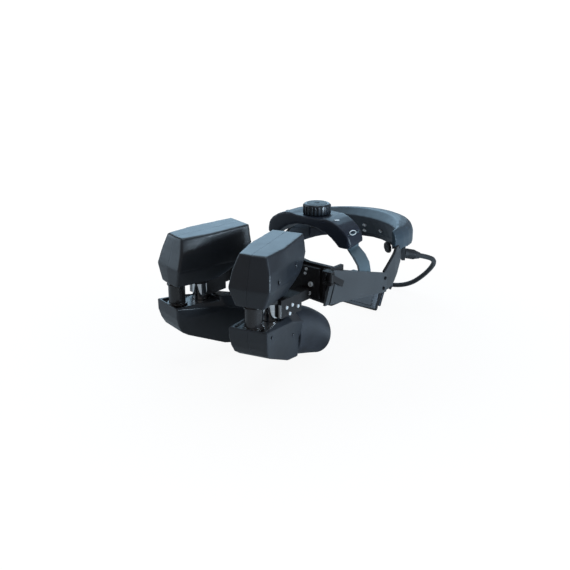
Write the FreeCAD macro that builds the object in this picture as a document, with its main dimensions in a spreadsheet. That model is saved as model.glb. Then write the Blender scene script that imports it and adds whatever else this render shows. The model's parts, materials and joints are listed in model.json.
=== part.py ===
"""Head-worn binocular visor: two optical pods on a sprung brow frame, a headband, a crown
piece with a height knob, a rear housing and a nape rest.

Frame: +Z up, +Y towards the back of the head, +X towards the wearer's left. The origin is the
centre of the footprint on the surface that the visor stands on. Lengths are in millimetres.
Left pieces are built with side = +1 and right pieces are their mirror image with side = -1.
"""
import FreeCAD
import Part
import math
import os

import Sketcher

Vector = FreeCAD.Vector
SIDES = (("left", 1), ("right", -1))

# Driving sizes: alias, value and what it is. Heights are above the surface.
SIZES = (
    ("origin_shift", 2.9, "moves the whole visor so that the footprint is centred in Y"),
    ("pod_x", 52.5, "pod column axis from the mid-plane"),
    ("pod_y", -153.5, "pod column axis along Y"),
    ("pod_yaw", 14.5, "angle that each pod turns out from straight ahead, degrees"),
    ("shell_wall", 2.0, "wall of the moulded pod shells"),
    ("parting_x", -1.5, "parting plane of the upper shells"),
    ("top_z", 143.0, "highest point of the upper shells"),
    ("brow_z", 123.0, "second outline of the upper shells"),
    ("knee_z", 107.0, "widest outline of the upper shells"),
    ("base_z", 89.0, "underside of the upper shells"),
    ("top_front_half", 13.4, "half width at the front, top"),
    ("brow_front_half", 20.2, "half width at the front, second outline"),
    ("knee_front_half", 22.4, "half width at the front, knee"),
    ("base_front_half", 15.5, "half width at the front, underside"),
    ("top_front_y", 1.3, "front edge, top"),
    ("brow_front_y", -4.4, "front edge, second outline"),
    ("knee_front_y", -9.4, "front edge, knee"),
    ("base_front_y", -8.2, "front edge, underside"),
    ("top_mid_half", 19.0, "half width at the middle, top"),
    ("brow_mid_half", 21.6, "half width at the middle, second outline"),
    ("knee_mid_half", 22.6, "half width at the middle, knee"),
    ("base_mid_half", 15.5, "half width at the middle, underside"),
    ("mid_y", 30.0, "middle of the pod outlines"),
    ("top_rear_half", 17.5, "half width at the rear, top"),
    ("brow_rear_half", 19.5, "half width at the rear, second outline"),
    ("knee_rear_half", 20.0, "half width at the rear, knee"),
    ("base_rear_half", 15.0, "half width at the rear, underside"),
    ("top_rear_y", 79.0, "rear edge, top"),
    ("brow_rear_y", 80.5, "rear edge, second outline"),
    ("knee_rear_y", 75.0, "rear edge, knee"),
    ("base_rear_y", 70.0, "rear edge, underside"),
    ("crease_step", 1.3, "how far the front crease stands out"),
    ("deck_z", 68.5, "deck of the lower shells"),
    ("deck_half", 20.7, "half width of the lower shells at the deck"),
    ("deck_front_y", -12.2, "front edge of the deck"),
    ("deck_rear_y", 74.0, "rear face of the lower shells"),
    ("deck_rear_z", 61.0, "height of the rear of the deck"),
    ("keel_z", 9.0, "lowest point of the lower shells, at the rear"),
    ("keel_half", 13.8, "half width of the lower shells at the keel"),
    ("flank_z", 56.0, "where the flanks of the lower shells start to narrow"),
    ("shoulder_half", 8.5, "half width left flat at the rear of the deck"),
    ("shoulder_drop", 12.5, "how far the rear shoulders come down"),
    ("recess_depth", 3.0, "recess in the deck around the column and the barrel"),
    ("column_r", 8.7, "outside radius of the front column"),
    ("column_bore", 6.0, "bore of the front column"),
    ("barrel_x", 3.5, "relay barrel axis, outwards from the column axis"),
    ("barrel_y", 29.7, "relay barrel axis, behind the column axis"),
    ("barrel_r", 8.2, "outside radius of the relay barrel"),
    ("barrel_bore", 6.4, "bore of the relay barrel"),
    ("fit_gap", 0.06, "radial clearance of a running fit"),
    ("joint_gap", 0.3, "clearance between pieces that move past each other"),
    ("eye_x", 38.0, "eyecup rim centre from the mid-plane"),
    ("eye_y", -38.5, "eyecup rim centre along Y"),
    ("eye_z", 21.6, "eyecup rim centre height"),
    ("eye_pitch", 14.4, "how far the eyepiece axis falls to the rear, degrees"),
    ("rim_r", 22.3, "outside radius of the eyecup rim"),
    ("eyepiece_r", 11.8, "outside radius of the eyepiece barrel"),
    ("lens_r", 10.4, "radius of the eyepiece lens"),
    ("rubber_wall", 2.2, "wall of the rubber eyecups"),
    ("frame_y", -67.0, "front face of the brow frame"),
    ("frame_thick", 5.0, "thickness of the brow frame"),
    ("frame_low", 73.0, "lower edge of the brow frame"),
    ("frame_high", 111.0, "upper edge of the brow frame"),
    ("frame_crest", 112.5, "upper edge of the brow frame at the middle"),
    ("frame_half", 79.7, "half width of the brow frame"),
    ("slot_low", 86.0, "lower edge of the slide slots"),
    ("slot_high", 92.0, "upper edge of the slide slots"),
    ("band_inner", 80.3, "inner face of the side bands from the mid-plane"),
    ("band_thick", 2.5, "thickness of the side bands"),
    ("bend_y", 33.0, "rear end of the side bands"),
    ("lever_x", 85.4, "thumb lever pin from the mid-plane"),
    ("lever_y", -74.0, "thumb lever pin along Y"),
    ("knob_y", 14.0, "crown knob axis along Y"),
    ("knob_r", 15.8, "radius of the crown knob over its ribs"),
    ("knob_low", 138.0, "underside of the crown knob"),
    ("knob_high", 150.0, "top of the crown knob"),
    ("leg_x", 51.2, "inner face of the crown straps inside the crown's feet"),
    ("leg_y", 11.0, "middle of the crown straps inside the crown's feet"),
    ("strap_width", 20.0, "width of the crown straps"),
    ("strap_thick", 1.6, "thickness of the crown straps"),
    ("rear_centre_y", 62.0, "front edge of the rear housing"),
    ("rear_half", 75.0, "half width of the rear housing"),
    ("rear_depth", 103.0, "length of the rear housing"),
    ("rear_top", 127.0, "height of the dome's crest above the front edge"),
    ("rear_fall", 4.4, "fall of the dome towards the rear, degrees"),
    ("rear_wall", 2.5, "wall of the rear housing"),
    ("nape_half", 26.0, "half width of the nape rest"),
    ("cable_r", 3.0, "radius of the cable"),
    ("coil_mean_r", 30.0, "mean radius of the put-away coil"),
    ("coil_x", -54.0, "centre of the put-away coil"),
    ("coil_y", 148.0, "centre of the put-away coil"),
)

doc = FreeCAD.newDocument("HeadVisor")
sheet = doc.addObject("Spreadsheet::Sheet", "Sizes")
for row, (alias, value, meaning) in enumerate(SIZES, start=1):
    sheet.set(f"A{row}", str(value))
    sheet.setAlias(f"A{row}", alias)
    sheet.set(f"B{row}", meaning)
doc.recompute()

subparts = {}


class Size:
    """A length or angle with its present value and the expression that drives it."""

    def __init__(self, value, text):
        self.value = value
        self.text = text

    def combine(self, other, symbol, value):
        return Size(value, f"({self.text} {symbol} {as_size(other).text})")

    def __add__(self, other):
        return self.combine(other, "+", self.value + as_size(other).value)

    def __sub__(self, other):
        return self.combine(other, "-", self.value - as_size(other).value)

    def __mul__(self, other):
        return self.combine(other, "*", self.value * as_size(other).value)

    def __truediv__(self, other):
        return self.combine(other, "/", self.value / as_size(other).value)

    def __neg__(self):
        return self * -1

    __radd__ = __add__
    __rmul__ = __mul__

    def __rsub__(self, other):
        return as_size(other) - self


def as_size(number):
    """Wrap a plain number so that it can stand beside a sheet size."""
    if isinstance(number, Size):
        return number
    return Size(float(number), f"{float(number):.6f}")


def cell(alias):
    """A driving size from the sheet."""
    return Size(float(sheet.get(alias)), f"Sizes.{alias}")


def drive(item, path, number):
    """Set a property to a size, bound to the sheet where the size comes from it."""
    size = as_size(number)
    if "Sizes." in size.text:
        item.setExpression(path, size.text)
    else:
        owner = item
        parts = path.split(".")
        if len(parts) == 1:
            setattr(owner, path, size.value)
        else:
            item.setExpression(path, size.text)


def place(item, x=0.0, y=0.0, z=0.0, rotation=None):
    """Give a sub-part its Placement, with the shift of the origin added."""
    if rotation is not None:
        item.Placement = FreeCAD.Placement(Vector(), rotation)
    shifted = as_size(y) + cell("origin_shift")
    for axis, number in (("x", as_size(x)), ("y", shifted), ("z", as_size(z))):
        item.setExpression(f".Placement.Base.{axis}", number.text)


def register(label, item, *position, rotation=None):
    """Name a finished sub-part and place it."""
    if item.TypeId == "Part::Box":
        item = group(item)
    item.Label = label
    place(item, *position, rotation=rotation)
    subparts[label] = item
    return item


# ---------------------------------------------------------------- PartDesign helpers

def new_body(label):
    return doc.addObject("PartDesign::Body", "Body_" + label)


def origin_plane(body, role):
    return [plane for plane in body.Origin.OriginFeatures if plane.Role == role][0]


def new_sketch(body, role, along=0.0, shift=(0.0, 0.0), turn=None):
    """A sketch on one of the body's origin planes, moved along the plane's normal."""
    sketch = body.newObject("Sketcher::SketchObject", "Sketch")
    sketch.AttachmentSupport = [(origin_plane(body, role), "")]
    sketch.MapMode = "FlatFace"
    if turn is not None:
        sketch.AttachmentOffset = FreeCAD.Placement(Vector(), turn)
    for axis, number in (("x", shift[0]), ("y", shift[1]), ("z", along)):
        sketch.setExpression(f".AttachmentOffset.Base.{axis}", as_size(number).text)
    return sketch


def pin_point(sketch, geometry, point, x, y):
    """Fix one point of a sketch at (x, y) from its origin."""
    for kind, axis, number in (("DistanceX", -2, as_size(x)), ("DistanceY", -1, as_size(y))):
        if abs(number.value) < 1e-9:
            sketch.addConstraint(Sketcher.Constraint("PointOnObject", geometry, point, axis))
            continue
        index = sketch.addConstraint(
            Sketcher.Constraint(kind, -1, 1, geometry, point, number.value))
        if "Sizes." in number.text:
            sketch.setExpression(f"Constraints[{index}]", number.text)


def outline(body, role, points, **where):
    """A closed polygon whose corners are (x, y) sizes."""
    sketch = new_sketch(body, role, **where)
    corners = [Vector(as_size(x).value, as_size(y).value, 0) for x, y in points]
    count = len(corners)
    for i, corner in enumerate(corners):
        sketch.addGeometry(Part.LineSegment(corner, corners[(i + 1) % count]))
    for i in range(count):
        sketch.addConstraint(Sketcher.Constraint("Coincident", i, 2, (i + 1) % count, 1))
    for i, (x, y) in enumerate(points):
        pin_point(sketch, i, 1, x, y)
    return sketch


def circles(body, role, items, **where):
    """Circles (x, y, radius) in one sketch."""
    sketch = new_sketch(body, role, **where)
    for i, (x, y, radius) in enumerate(items):
        centre = Vector(as_size(x).value, as_size(y).value, 0)
        sketch.addGeometry(Part.Circle(centre, Vector(0, 0, 1), as_size(radius).value))
        pin_point(sketch, i, 3, x, y)
        index = sketch.addConstraint(Sketcher.Constraint("Radius", i, as_size(radius).value))
        if "Sizes." in as_size(radius).text:
            sketch.setExpression(f"Constraints[{index}]", as_size(radius).text)
    return sketch


def ellipse(body, role, x, y, wide, tall, turn=None, along=0.0):
    """An ellipse centred at (x, y), its half axes being wide (across) and tall (up)."""
    sketch = new_sketch(body, role, along=along, shift=(x, y), turn=turn)
    tips = [Vector(0, as_size(tall).value, 0), Vector(as_size(wide).value, 0, 0)]
    if tips[1].Length > tips[0].Length:
        tips.reverse()
    if abs(tips[0].Length - tips[1].Length) < 1e-6:
        sketch.addGeometry(Part.Circle(Vector(), Vector(0, 0, 1), tips[0].Length))
    else:
        sketch.addGeometry(Part.Ellipse(tips[0], tips[1], Vector()))
    sketch.addConstraint(Sketcher.Constraint("Block", 0))
    return sketch


def extrude(body, kind, sketch, length, symmetric=False, backwards=False):
    """A Pad or Pocket of a sketch."""
    doc.recompute()
    feature = body.newObject("PartDesign::" + kind, kind)
    feature.Profile = sketch
    drive(feature, "Length", length)
    if symmetric:
        feature.SideType = "Symmetric"
    feature.Reversed = backwards
    return feature


def loft(body, kind, sketches, ruled=True):
    """An AdditiveLoft or SubtractiveLoft through sketches."""
    doc.recompute()
    feature = body.newObject("PartDesign::" + kind, kind)
    feature.Profile = sketches[0]
    feature.Sections = sketches[1:]
    feature.Ruled = ruled
    return feature


def turned(label, profile, *position, rotation=None):
    """A body turned about its own Z axis from (radius, height) corners."""
    body = new_body(label)
    sketch = outline(body, "XZ_Plane", profile)
    feature = body.newObject("PartDesign::Revolution", "Revolution")
    feature.Profile = sketch
    feature.ReferenceAxis = (sketch, ["V_Axis"])
    feature.Angle = 360
    return register(label, body, *position, rotation=rotation)


# ---------------------------------------------------------------- Part helpers

def block(low, high):
    """A Part::Box between two corners given as (x, y, z) sizes."""
    item = doc.addObject("Part::Box", "Box")
    for name, axis, a, b in zip(("Length", "Width", "Height"), "xyz", low, high):
        near, far = sorted((as_size(a), as_size(b)), key=lambda size: size.value)
        item.setExpression(name, (far - near).text)
        item.setExpression(f".Placement.Base.{axis}", near.text)
    return item


def rod(radius, length, base, direction=(0, 0, 1)):
    """A Part::Cylinder from a base point along a direction."""
    item = doc.addObject("Part::Cylinder", "Cylinder")
    item.setExpression("Radius", as_size(radius).text)
    item.setExpression("Height", as_size(length).text)
    turn = FreeCAD.Rotation(Vector(0, 0, 1), Vector(*direction))
    item.Placement = FreeCAD.Placement(Vector(), turn)
    for axis, number in zip("xyz", base):
        item.setExpression(f".Placement.Base.{axis}", as_size(number).text)
    return item


def fuse(*items):
    result = doc.addObject("Part::MultiFuse", "Fusion")
    result.Shapes = list(items)
    return result


def cut(base, *tools):
    result = doc.addObject("Part::Cut", "Cut")
    result.Base = base
    result.Tool = tools[0] if len(tools) == 1 else fuse(*tools)
    return result


def group(*items):
    """Separate solids of one kind in one sub-part."""
    result = doc.addObject("Part::Compound", "Group")
    result.Links = list(items)
    return result


def lens(radius, half_thick, base, direction=(0, 0, 1)):
    """A biconvex lens: the common part of two spheres."""
    rim = 0.9
    bulge = half_thick - rim
    sphere_r = (radius ** 2 + bulge ** 2) / (2 * bulge)
    body = rod(radius, 2 * half_thick, (0, 0, -half_thick))
    caps = []
    for sign in (1, -1):
        ball = doc.addObject("Part::Sphere", "Ball")
        ball.Radius = sphere_r
        ball.Placement.Base = Vector(0, 0, sign * (half_thick - sphere_r))
        caps.append(ball)
    result = doc.addObject("Part::MultiCommon", "Lens")
    result.Shapes = [body] + caps
    turn = FreeCAD.Rotation(Vector(0, 0, 1), Vector(*direction))
    result.Placement = FreeCAD.Placement(Vector(), turn)
    for axis, number in zip("xyz", base):
        result.setExpression(f".Placement.Base.{axis}", as_size(number).text)
    return result


# ---------------------------------------------------------------- pods

def pod_position(side):
    return cell("pod_x") * side, cell("pod_y"), 0.0


def pod_turn(side):
    return FreeCAD.Rotation(Vector(0, 0, 1), side * cell("pod_yaw").value)


def in_pod(side, across, back):
    """World x and y of a place given outwards and backwards from the pod's column axis."""
    yaw = math.radians(cell("pod_yaw").value)
    x = cell("pod_x").value + across * math.cos(yaw) - back * math.sin(yaw)
    y = cell("pod_y").value + across * math.sin(yaw) + back * math.cos(yaw)
    return side * x, y


def upper_outline(body, side, level):
    """One horizontal outline of the upper shells."""
    front, mid = cell(level + "_front_half"), cell(level + "_mid_half")
    rear, front_y = cell(level + "_rear_half"), cell(level + "_front_y")
    rear_y, mid_y = cell(level + "_rear_y"), cell("mid_y")
    crease = (cell("parting_x") * side, front_y - cell("crease_step"))
    points = [(-front * side, front_y), crease, (front * side, front_y), (mid * side, mid_y),
              (rear * side, rear_y), (-rear * side, rear_y), (-mid * side, mid_y)]
    return outline(body, "XY_Plane", points, along=cell(level + "_z"))


def upper_cavity(body):
    """Hollow out the upper housing, following its outlines one wall in."""
    wall, outlines = cell("shell_wall") * 1.1, []
    for level, z, rear in (("base", cell("base_z") + cell("shell_wall"), as_size(35.0)),
                           ("knee", cell("knee_z"), as_size(63.0)),
                           ("brow", cell("brow_z"), as_size(77.0)),
                           ("top", cell("top_z") - 6.8, as_size(76.0))):
        front, mid = cell(level + "_front_half") - wall, cell(level + "_mid_half") - wall
        back, front_y = cell(level + "_rear_half") - wall, cell(level + "_front_y") + wall
        mid_y = cell("mid_y")
        points = [(-front, front_y), (front, front_y), (mid, mid_y), (back, rear),
                  (-back, rear), (-mid, mid_y)]
        outlines.append(outline(body, "XY_Plane", points, along=z))
    return loft(body, "SubtractiveLoft", outlines)


def keep_half(body, parting, side, outer):
    """Cut a pod solid at its parting plane and keep the outer or the inner half."""
    reach, front, back = 60.0, -60.0, 160.0
    away = -side if outer else side
    points = [(parting, front), (away * reach, front), (away * reach, back), (parting, back)]
    return extrude(body, "Pocket", outline(body, "XY_Plane", points), 400.0, symmetric=True)


def upper_shell(name, side, outer):
    """One moulded half of the housing that holds the display module."""
    body = new_body(name)
    levels = ("top", "brow", "knee", "base")
    loft(body, "AdditiveLoft", [upper_outline(body, side, level) for level in levels])
    base_z = cell("base_z")
    under = [(34.0, base_z - 9), (34.0, base_z - 2.5), (42.0, base_z + 2.2),
             (52.0, base_z + 7.0), (63.0, base_z + 14.0), (73.0, base_z + 23.0),
             (84.0, base_z + 38.0), (99.0, base_z + 38.0), (99.0, base_z - 9)]
    extrude(body, "Pocket", outline(body, "YZ_Plane", under), 120.0, symmetric=True)
    top_z = cell("top_z")
    crest = [(-25.0, top_z - 5.1), (95.0, top_z + 0.2), (95.0, top_z + 9), (-25.0, top_z + 9)]
    extrude(body, "Pocket", outline(body, "YZ_Plane", crest), 120.0, symmetric=True)
    parting = cell("parting_x") * side
    upper_cavity(body)
    keep_half(body, parting, side, outer)
    seats = [(0.0, 0.0, cell("column_r") + cell("fit_gap")),
             (cell("barrel_x") * side, cell("barrel_y"), cell("barrel_r") + cell("fit_gap"))]
    floor_holes = circles(body, "XY_Plane", seats, along=base_z)
    extrude(body, "Pocket", floor_holes, 12.0, symmetric=True)
    if outer:
        holes = [(12.0, base_z + 22.5, 1.7), (53.0, base_z + 27.5, 1.7)]
        extrude(body, "Pocket", circles(body, "YZ_Plane", holes), 120.0, symmetric=True)
    return register(name, body, *pod_position(side), rotation=pod_turn(side))


def cut_shoulder(body, sign):
    """Bevel that grows from nothing at the front of the deck to a wide one at the rear."""
    deck_z, deck_half = cell("deck_z"), cell("deck_half")
    wide, drop = deck_half - cell("shoulder_half"), cell("shoulder_drop")
    corners = []
    for y, crest, share in ((cell("deck_front_y") - 1.0, deck_z, 0.01),
                            (as_size(46.0), deck_z - 0.5, 0.68),
                            (cell("deck_rear_y"), cell("deck_rear_z"), 1.0),
                            (cell("deck_rear_y") + 2.0, cell("deck_rear_z") - 0.5, 1.02)):
        inner, low = (deck_half - wide * share) * sign, crest - drop * share
        outer, high = (deck_half + 6.0) * sign, crest + 6.0
        slope = 6.0 * wide.value / drop.value
        points = [(inner, crest), (inner - slope * sign, high), (outer, high), (outer, low),
                  (deck_half * sign, low)]
        corners.append(outline(body, "XZ_Plane", points, along=-y))
    return loft(body, "SubtractiveLoft", corners)


def lower_cavity(body):
    """Hollow out the lower housing one wall in, below the recess in its deck."""
    wall, deck_half, flank_z = cell("shell_wall"), cell("deck_half"), cell("flank_z")
    ceiling = cell("deck_z") - cell("recess_depth") - wall - 0.2
    rows = ((-9.3, 18.0, ceiling, 18.6, ceiling - 0.6, 18.6, flank_z, 18.1, 53.0),
            (-3.0, 17.6, ceiling, 18.6, ceiling - 1.0, 18.6, flank_z, 16.6, 42.6),
            (3.0, 17.2, ceiling, 18.6, ceiling - 1.4, 18.6, flank_z, 16.0, 38.6),
            (48.0, 13.6, ceiling, 18.4, ceiling - 5.2, 18.3, flank_z - 1, 12.9, 17.6),
            (71.8, 7.4, ceiling - 4.6, 17.0, ceiling - 14.6, 16.8, flank_z - 10, 12.0, 12.0))
    outlines = []
    for y, flat, top, side_x, side_z, flank_x, flank, keel_x, keel in rows:
        right = [(flat, top), (side_x, side_z), (flank_x, flank), (keel_x, keel)]
        points = right + [(-x, z) for x, z in reversed(right)]
        outlines.append(outline(body, "XZ_Plane", points, along=-y))
    return loft(body, "SubtractiveLoft", outlines)


def lower_shell(name, side, outer):
    """One moulded half of the housing that holds the mirror and the eyepiece."""
    body = new_body(name)
    deck_z, keel_z, rear_y = cell("deck_z"), cell("keel_z"), cell("deck_rear_y")
    front_y, deck_half = cell("deck_front_y"), cell("deck_half")
    profile = [(front_y, deck_z), (46.0, deck_z - 0.5), (rear_y, cell("deck_rear_z")),
               (rear_y, keel_z), (48.0, keel_z + 6.0), (2.0, keel_z + 27.0),
               (-5.5, keel_z + 32.0), (-9.6, keel_z + 39.5), (-11.8, keel_z + 48.0)]
    extrude(body, "Pad", outline(body, "YZ_Plane", profile), deck_half * 2, symmetric=True)
    reach = 40.0
    for sign in (1, -1):
        wedge = [(deck_half * sign, cell("flank_z")), (cell("keel_half") * sign, keel_z),
                 (cell("keel_half") * sign, 0.0), (reach * sign, 0.0),
                 (reach * sign, cell("flank_z"))]
        extrude(body, "Pocket", outline(body, "XZ_Plane", wedge), 400.0, symmetric=True)
    for sign in (1, -1):
        cut_shoulder(body, sign)
    recess = outline(body, "XY_Plane", [(-16.0, -9.4), (16.0, -9.4), (16.0, 43.0), (-16.0, 43.0)],
                     along=deck_z)
    extrude(body, "Pocket", recess, cell("recess_depth") * 2, symmetric=True)
    lower_cavity(body)
    keep_half(body, as_size(0.0), side, outer)
    seats = [(0.0, 0.0, cell("column_r") + cell("fit_gap")),
             (cell("barrel_x") * side, cell("barrel_y"), cell("barrel_r") + cell("fit_gap"))]
    deck_holes = circles(body, "XY_Plane", seats, along=deck_z)
    extrude(body, "Pocket", deck_holes, 14.0, symmetric=True)
    port = circles(body, "XZ_Plane", [(4.0 * side, 32.6, cell("eyepiece_r") + 1.2)],
                   along=-rear_y)
    extrude(body, "Pocket", port, 10.0, symmetric=True)
    if outer:
        holes = [(-2.0, 60.5, 1.7), (50.6, 43.5, 1.7)]
        extrude(body, "Pocket", circles(body, "YZ_Plane", holes), 120.0, symmetric=True)
    return register(name, body, *pod_position(side), rotation=pod_turn(side))


def front_column(name, side):
    """The tube that ties the two housings of a pod together at the front."""
    r, bore, deck = cell("column_r"), cell("column_bore"), cell("deck_z")
    base, floor = cell("base_z"), deck - cell("recess_depth")
    profile = [(bore, deck - 8), (r, deck - 8), (r, floor), (r + 1.8, floor), (r + 1.8, floor + 2.6),
               (r, floor + 2.6), (r, base - 1.6), (r + 1.2, base - 1.6), (r + 1.2, base),
               (r, base), (r, base + 6), (bore, base + 6)]
    return turned(name, profile, *pod_position(side), rotation=pod_turn(side))


def relay_barrel(name, side):
    """The bright barrel that carries the picture down from the display to the mirror."""
    r, bore, deck = cell("barrel_r"), cell("barrel_bore"), cell("deck_z")
    base = cell("base_z")
    profile = [(bore, deck - 8), (r, deck - 8), (r, base + 8), (bore, base + 8)]
    x, y = in_pod(side, cell("barrel_x").value, cell("barrel_y").value)
    return turned(name, profile, x, y, 0.0)


def relay_lenses(name, side):
    radius = cell("barrel_bore").value - 0.05
    pair = group(lens(radius, 2.6, (0, 0, 66.0)), lens(radius, 2.6, (0, 0, 91.0)))
    x, y = in_pod(side, cell("barrel_x").value, cell("barrel_y").value)
    return register(name, pair, x, y, 0.0)


def display_module(name, side):
    """Micro-display, backlight and board above the relay barrel."""
    centre_x, centre_y = cell("barrel_x") * side, cell("barrel_y")
    snout = rod(7.4, 6.0, (centre_x, centre_y, 98.0))
    case = block((centre_x - 11, centre_y - 12, 103.5), (centre_x + 11, centre_y + 12, 119.0))
    board = block((centre_x - 13, centre_y - 16, 119.0), (centre_x + 13, centre_y + 22, 121.0))
    return register(name, fuse(snout, case, board), *pod_position(side), rotation=pod_turn(side))


def fold_mirror(name, side):
    """The plate mirror that turns the picture towards the eye."""
    plate = block((-7.5, -10.5, -1.0), (7.5, 10.5, 1.0))
    aim = FreeCAD.Rotation(Vector(1, 0, 0), 45 - cell("eye_pitch").value / 2)
    x, y = in_pod(side, cell("barrel_x").value, cell("barrel_y").value)
    return register(name, plate, x, y, 45.5, rotation=aim)


def eye_axis(side):
    """Unit direction of the eyepiece, from the mirror towards the eye."""
    pitch = math.radians(cell("eye_pitch").value)
    return Vector(0, math.cos(pitch), -math.sin(pitch))


def on_eye_axis(side, before_rim):
    """World position on the eyepiece axis, a distance before the rim centre."""
    rim = Vector(side * cell("eye_x").value, cell("eye_y").value, cell("eye_z").value)
    return rim - eye_axis(side) * before_rim


def eyepiece_barrel(name, side):
    r, bore = cell("eyepiece_r"), cell("lens_r") - 0.6
    seat = cell("lens_r") + 0.05
    profile = [(bore, 0.0), (r, 0.0), (r, 32.0), (seat, 32.0), (seat, 20.0), (bore, 20.0)]
    start = on_eye_axis(side, 50.0)
    turn = FreeCAD.Rotation(Vector(0, 0, 1), eye_axis(side))
    return turned(name, profile, start.x, start.y, start.z, rotation=turn)


def eyepiece_lens(name, side):
    item = lens(cell("lens_r").value, 3.6, (0, 0, 0))
    centre = on_eye_axis(side, 50.0 - 25.0)
    turn = FreeCAD.Rotation(Vector(0, 0, 1), eye_axis(side))
    return register(name, group(item), centre.x, centre.y, centre.z, rotation=turn)


def eyecup(name, side):
    """Rubber bell from the rear face of the lower shells to the round rim at the eye."""
    body = new_body(name)
    wall, rear = cell("rubber_wall"), cell("deck_rear_y") + 0.1
    rim_turn = (FreeCAD.Rotation(Vector(0, 1, 0), side * -cell("pod_yaw").value)
                * FreeCAD.Rotation(Vector(1, 0, 0), -cell("eye_pitch").value))
    yaw = math.radians(cell("pod_yaw").value)
    dx, dy = cell("eye_x").value - cell("pod_x").value, cell("eye_y").value - cell("pod_y").value
    rim_x = dx * math.cos(yaw) + dy * math.sin(yaw)
    rim_y = -dx * math.sin(yaw) + dy * math.cos(yaw)

    def sections(inset, deeper, beyond):
        first = ellipse(body, "XZ_Plane", 0.5 * side, 34.0, 17.6 - inset, 25.4 - inset,
                        along=-(rear + deeper))
        second = ellipse(body, "XZ_Plane", 3.0 * side, 32.3, 20.2 - inset, 27.6 - inset,
                         along=-(rear + 13.0))
        rim = ellipse(body, "XZ_Plane", rim_x * side, cell("eye_z"), cell("rim_r") - inset,
                      cell("rim_r") - inset, along=-(rim_y + beyond), turn=rim_turn)
        return [first, second, rim]

    loft(body, "AdditiveLoft", sections(0.0, 0.0, 0.0), ruled=False)
    loft(body, "SubtractiveLoft", sections(wall.value, wall, 0.4), ruled=False)
    port = circles(body, "XZ_Plane", [(4.6 * side, 32.4, cell("eyepiece_r") + 1.6)], along=-rear)
    extrude(body, "Pocket", port, 12.0, symmetric=True)
    return register(name, body, *pod_position(side), rotation=pod_turn(side))


def cap_screw(radius, head, base, direction, shank=1.1, reach=6.0):
    """A small socket screw: head, shank and recess."""
    x, y, z = [as_size(number) for number in base]
    dx, dy, dz = direction
    shank_rod = rod(shank, reach, (x - dx * reach, y - dy * reach, z - dz * reach), direction)
    socket = rod(radius * 0.45, head, (x + dx * head * 0.5, y + dy * head * 0.5,
                                       z + dz * head * 0.5), direction)
    return cut(fuse(rod(radius, head, base, direction), shank_rod), socket)


def pod_screws(name, side):
    """Two screws through each outer shell half."""
    outward = (side, 0, 0)
    places = [(19.4, 12.0, cell("base_z") + 22.5), (18.2, 53.0, cell("base_z") + 27.5),
              (18.0, -2.0, as_size(60.5)), (14.4, 50.6, as_size(43.5))]
    items = [cap_screw(1.6, 1.4, (x * side, y, z), outward, shank=0.9, reach=14.0)
             for x, y, z in places]
    return register(name, group(*items), *pod_position(side), rotation=pod_turn(side))


# ---------------------------------------------------------------- pod carriages

def carriage_origin(side):
    """The swivel axis: the relay barrel."""
    x, y = in_pod(side, cell("barrel_x").value, cell("barrel_y").value)
    return x, y, 0.0


def carriage(name, side):
    """Clamp block around the relay barrel, with its neck, face plate and slide tongue."""
    face = cell("frame_y") - carriage_origin(side)[1]
    ring_r = cell("barrel_r") + 2.8
    upper = rod(ring_r, 4.0, (0, 0, 84.0))
    body = block((-8 * side, -0.8, 69.2), (15 * side, 31.0, 88.0))
    neck = block((-3 * side, 30.0, 74.0), (9 * side, face - 3.0, 85.0))
    plate = block((-12 * side, face - 4.5, 76.0), (20 * side, face - 0.3, 108.0))
    tongue = block((-6 * side, face - 1.0, cell("slot_low") + 0.3),
                   (14 * side, face + 5.6, cell("slot_high") - 0.3))
    bore = rod(cell("barrel_r") + cell("fit_gap"), 60.0, (0, 0, 50.0))
    solid = cut(fuse(upper, body, neck, plate, tongue), bore)
    return register(name, solid, *carriage_origin(side))


def slide_clamp(name, side):
    """The plate behind the brow frame that holds the carriage in its slot."""
    face = cell("frame_y") - carriage_origin(side)[1]
    plate = block((-9 * side, face + 5.6, 83.0), (17 * side, face + 7.6, 95.0))
    return register(name, plate, *carriage_origin(side))


def carriage_screws(name, side):
    """Four socket screws on the clamp block and four on the face plate."""
    outward, forward = (side, 0, 0), (0, -1, 0)
    face = cell("frame_y") - carriage_origin(side)[1] - 4.5
    items = [cap_screw(1.7, 1.5, (15 * side, y, z), outward, shank=0.9)
             for y, z in ((11.0, 72.0), (6.4, 79.3), (15.0, 79.9), (24.0, 76.0))]
    items += [cap_screw(2.6, 1.8, (x * side, face, z), forward, reach=3.5)
              for x, z in ((10.0, 90.1), (7.6, 80.2))]
    items += [cap_screw(1.5, 1.2, (x * side, face, z), forward, reach=3.5)
              for x, z in ((4.2, 105.2), (2.8, 100.4))]
    return register(name, group(*items), *carriage_origin(side))


# ---------------------------------------------------------------- brow frame

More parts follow.
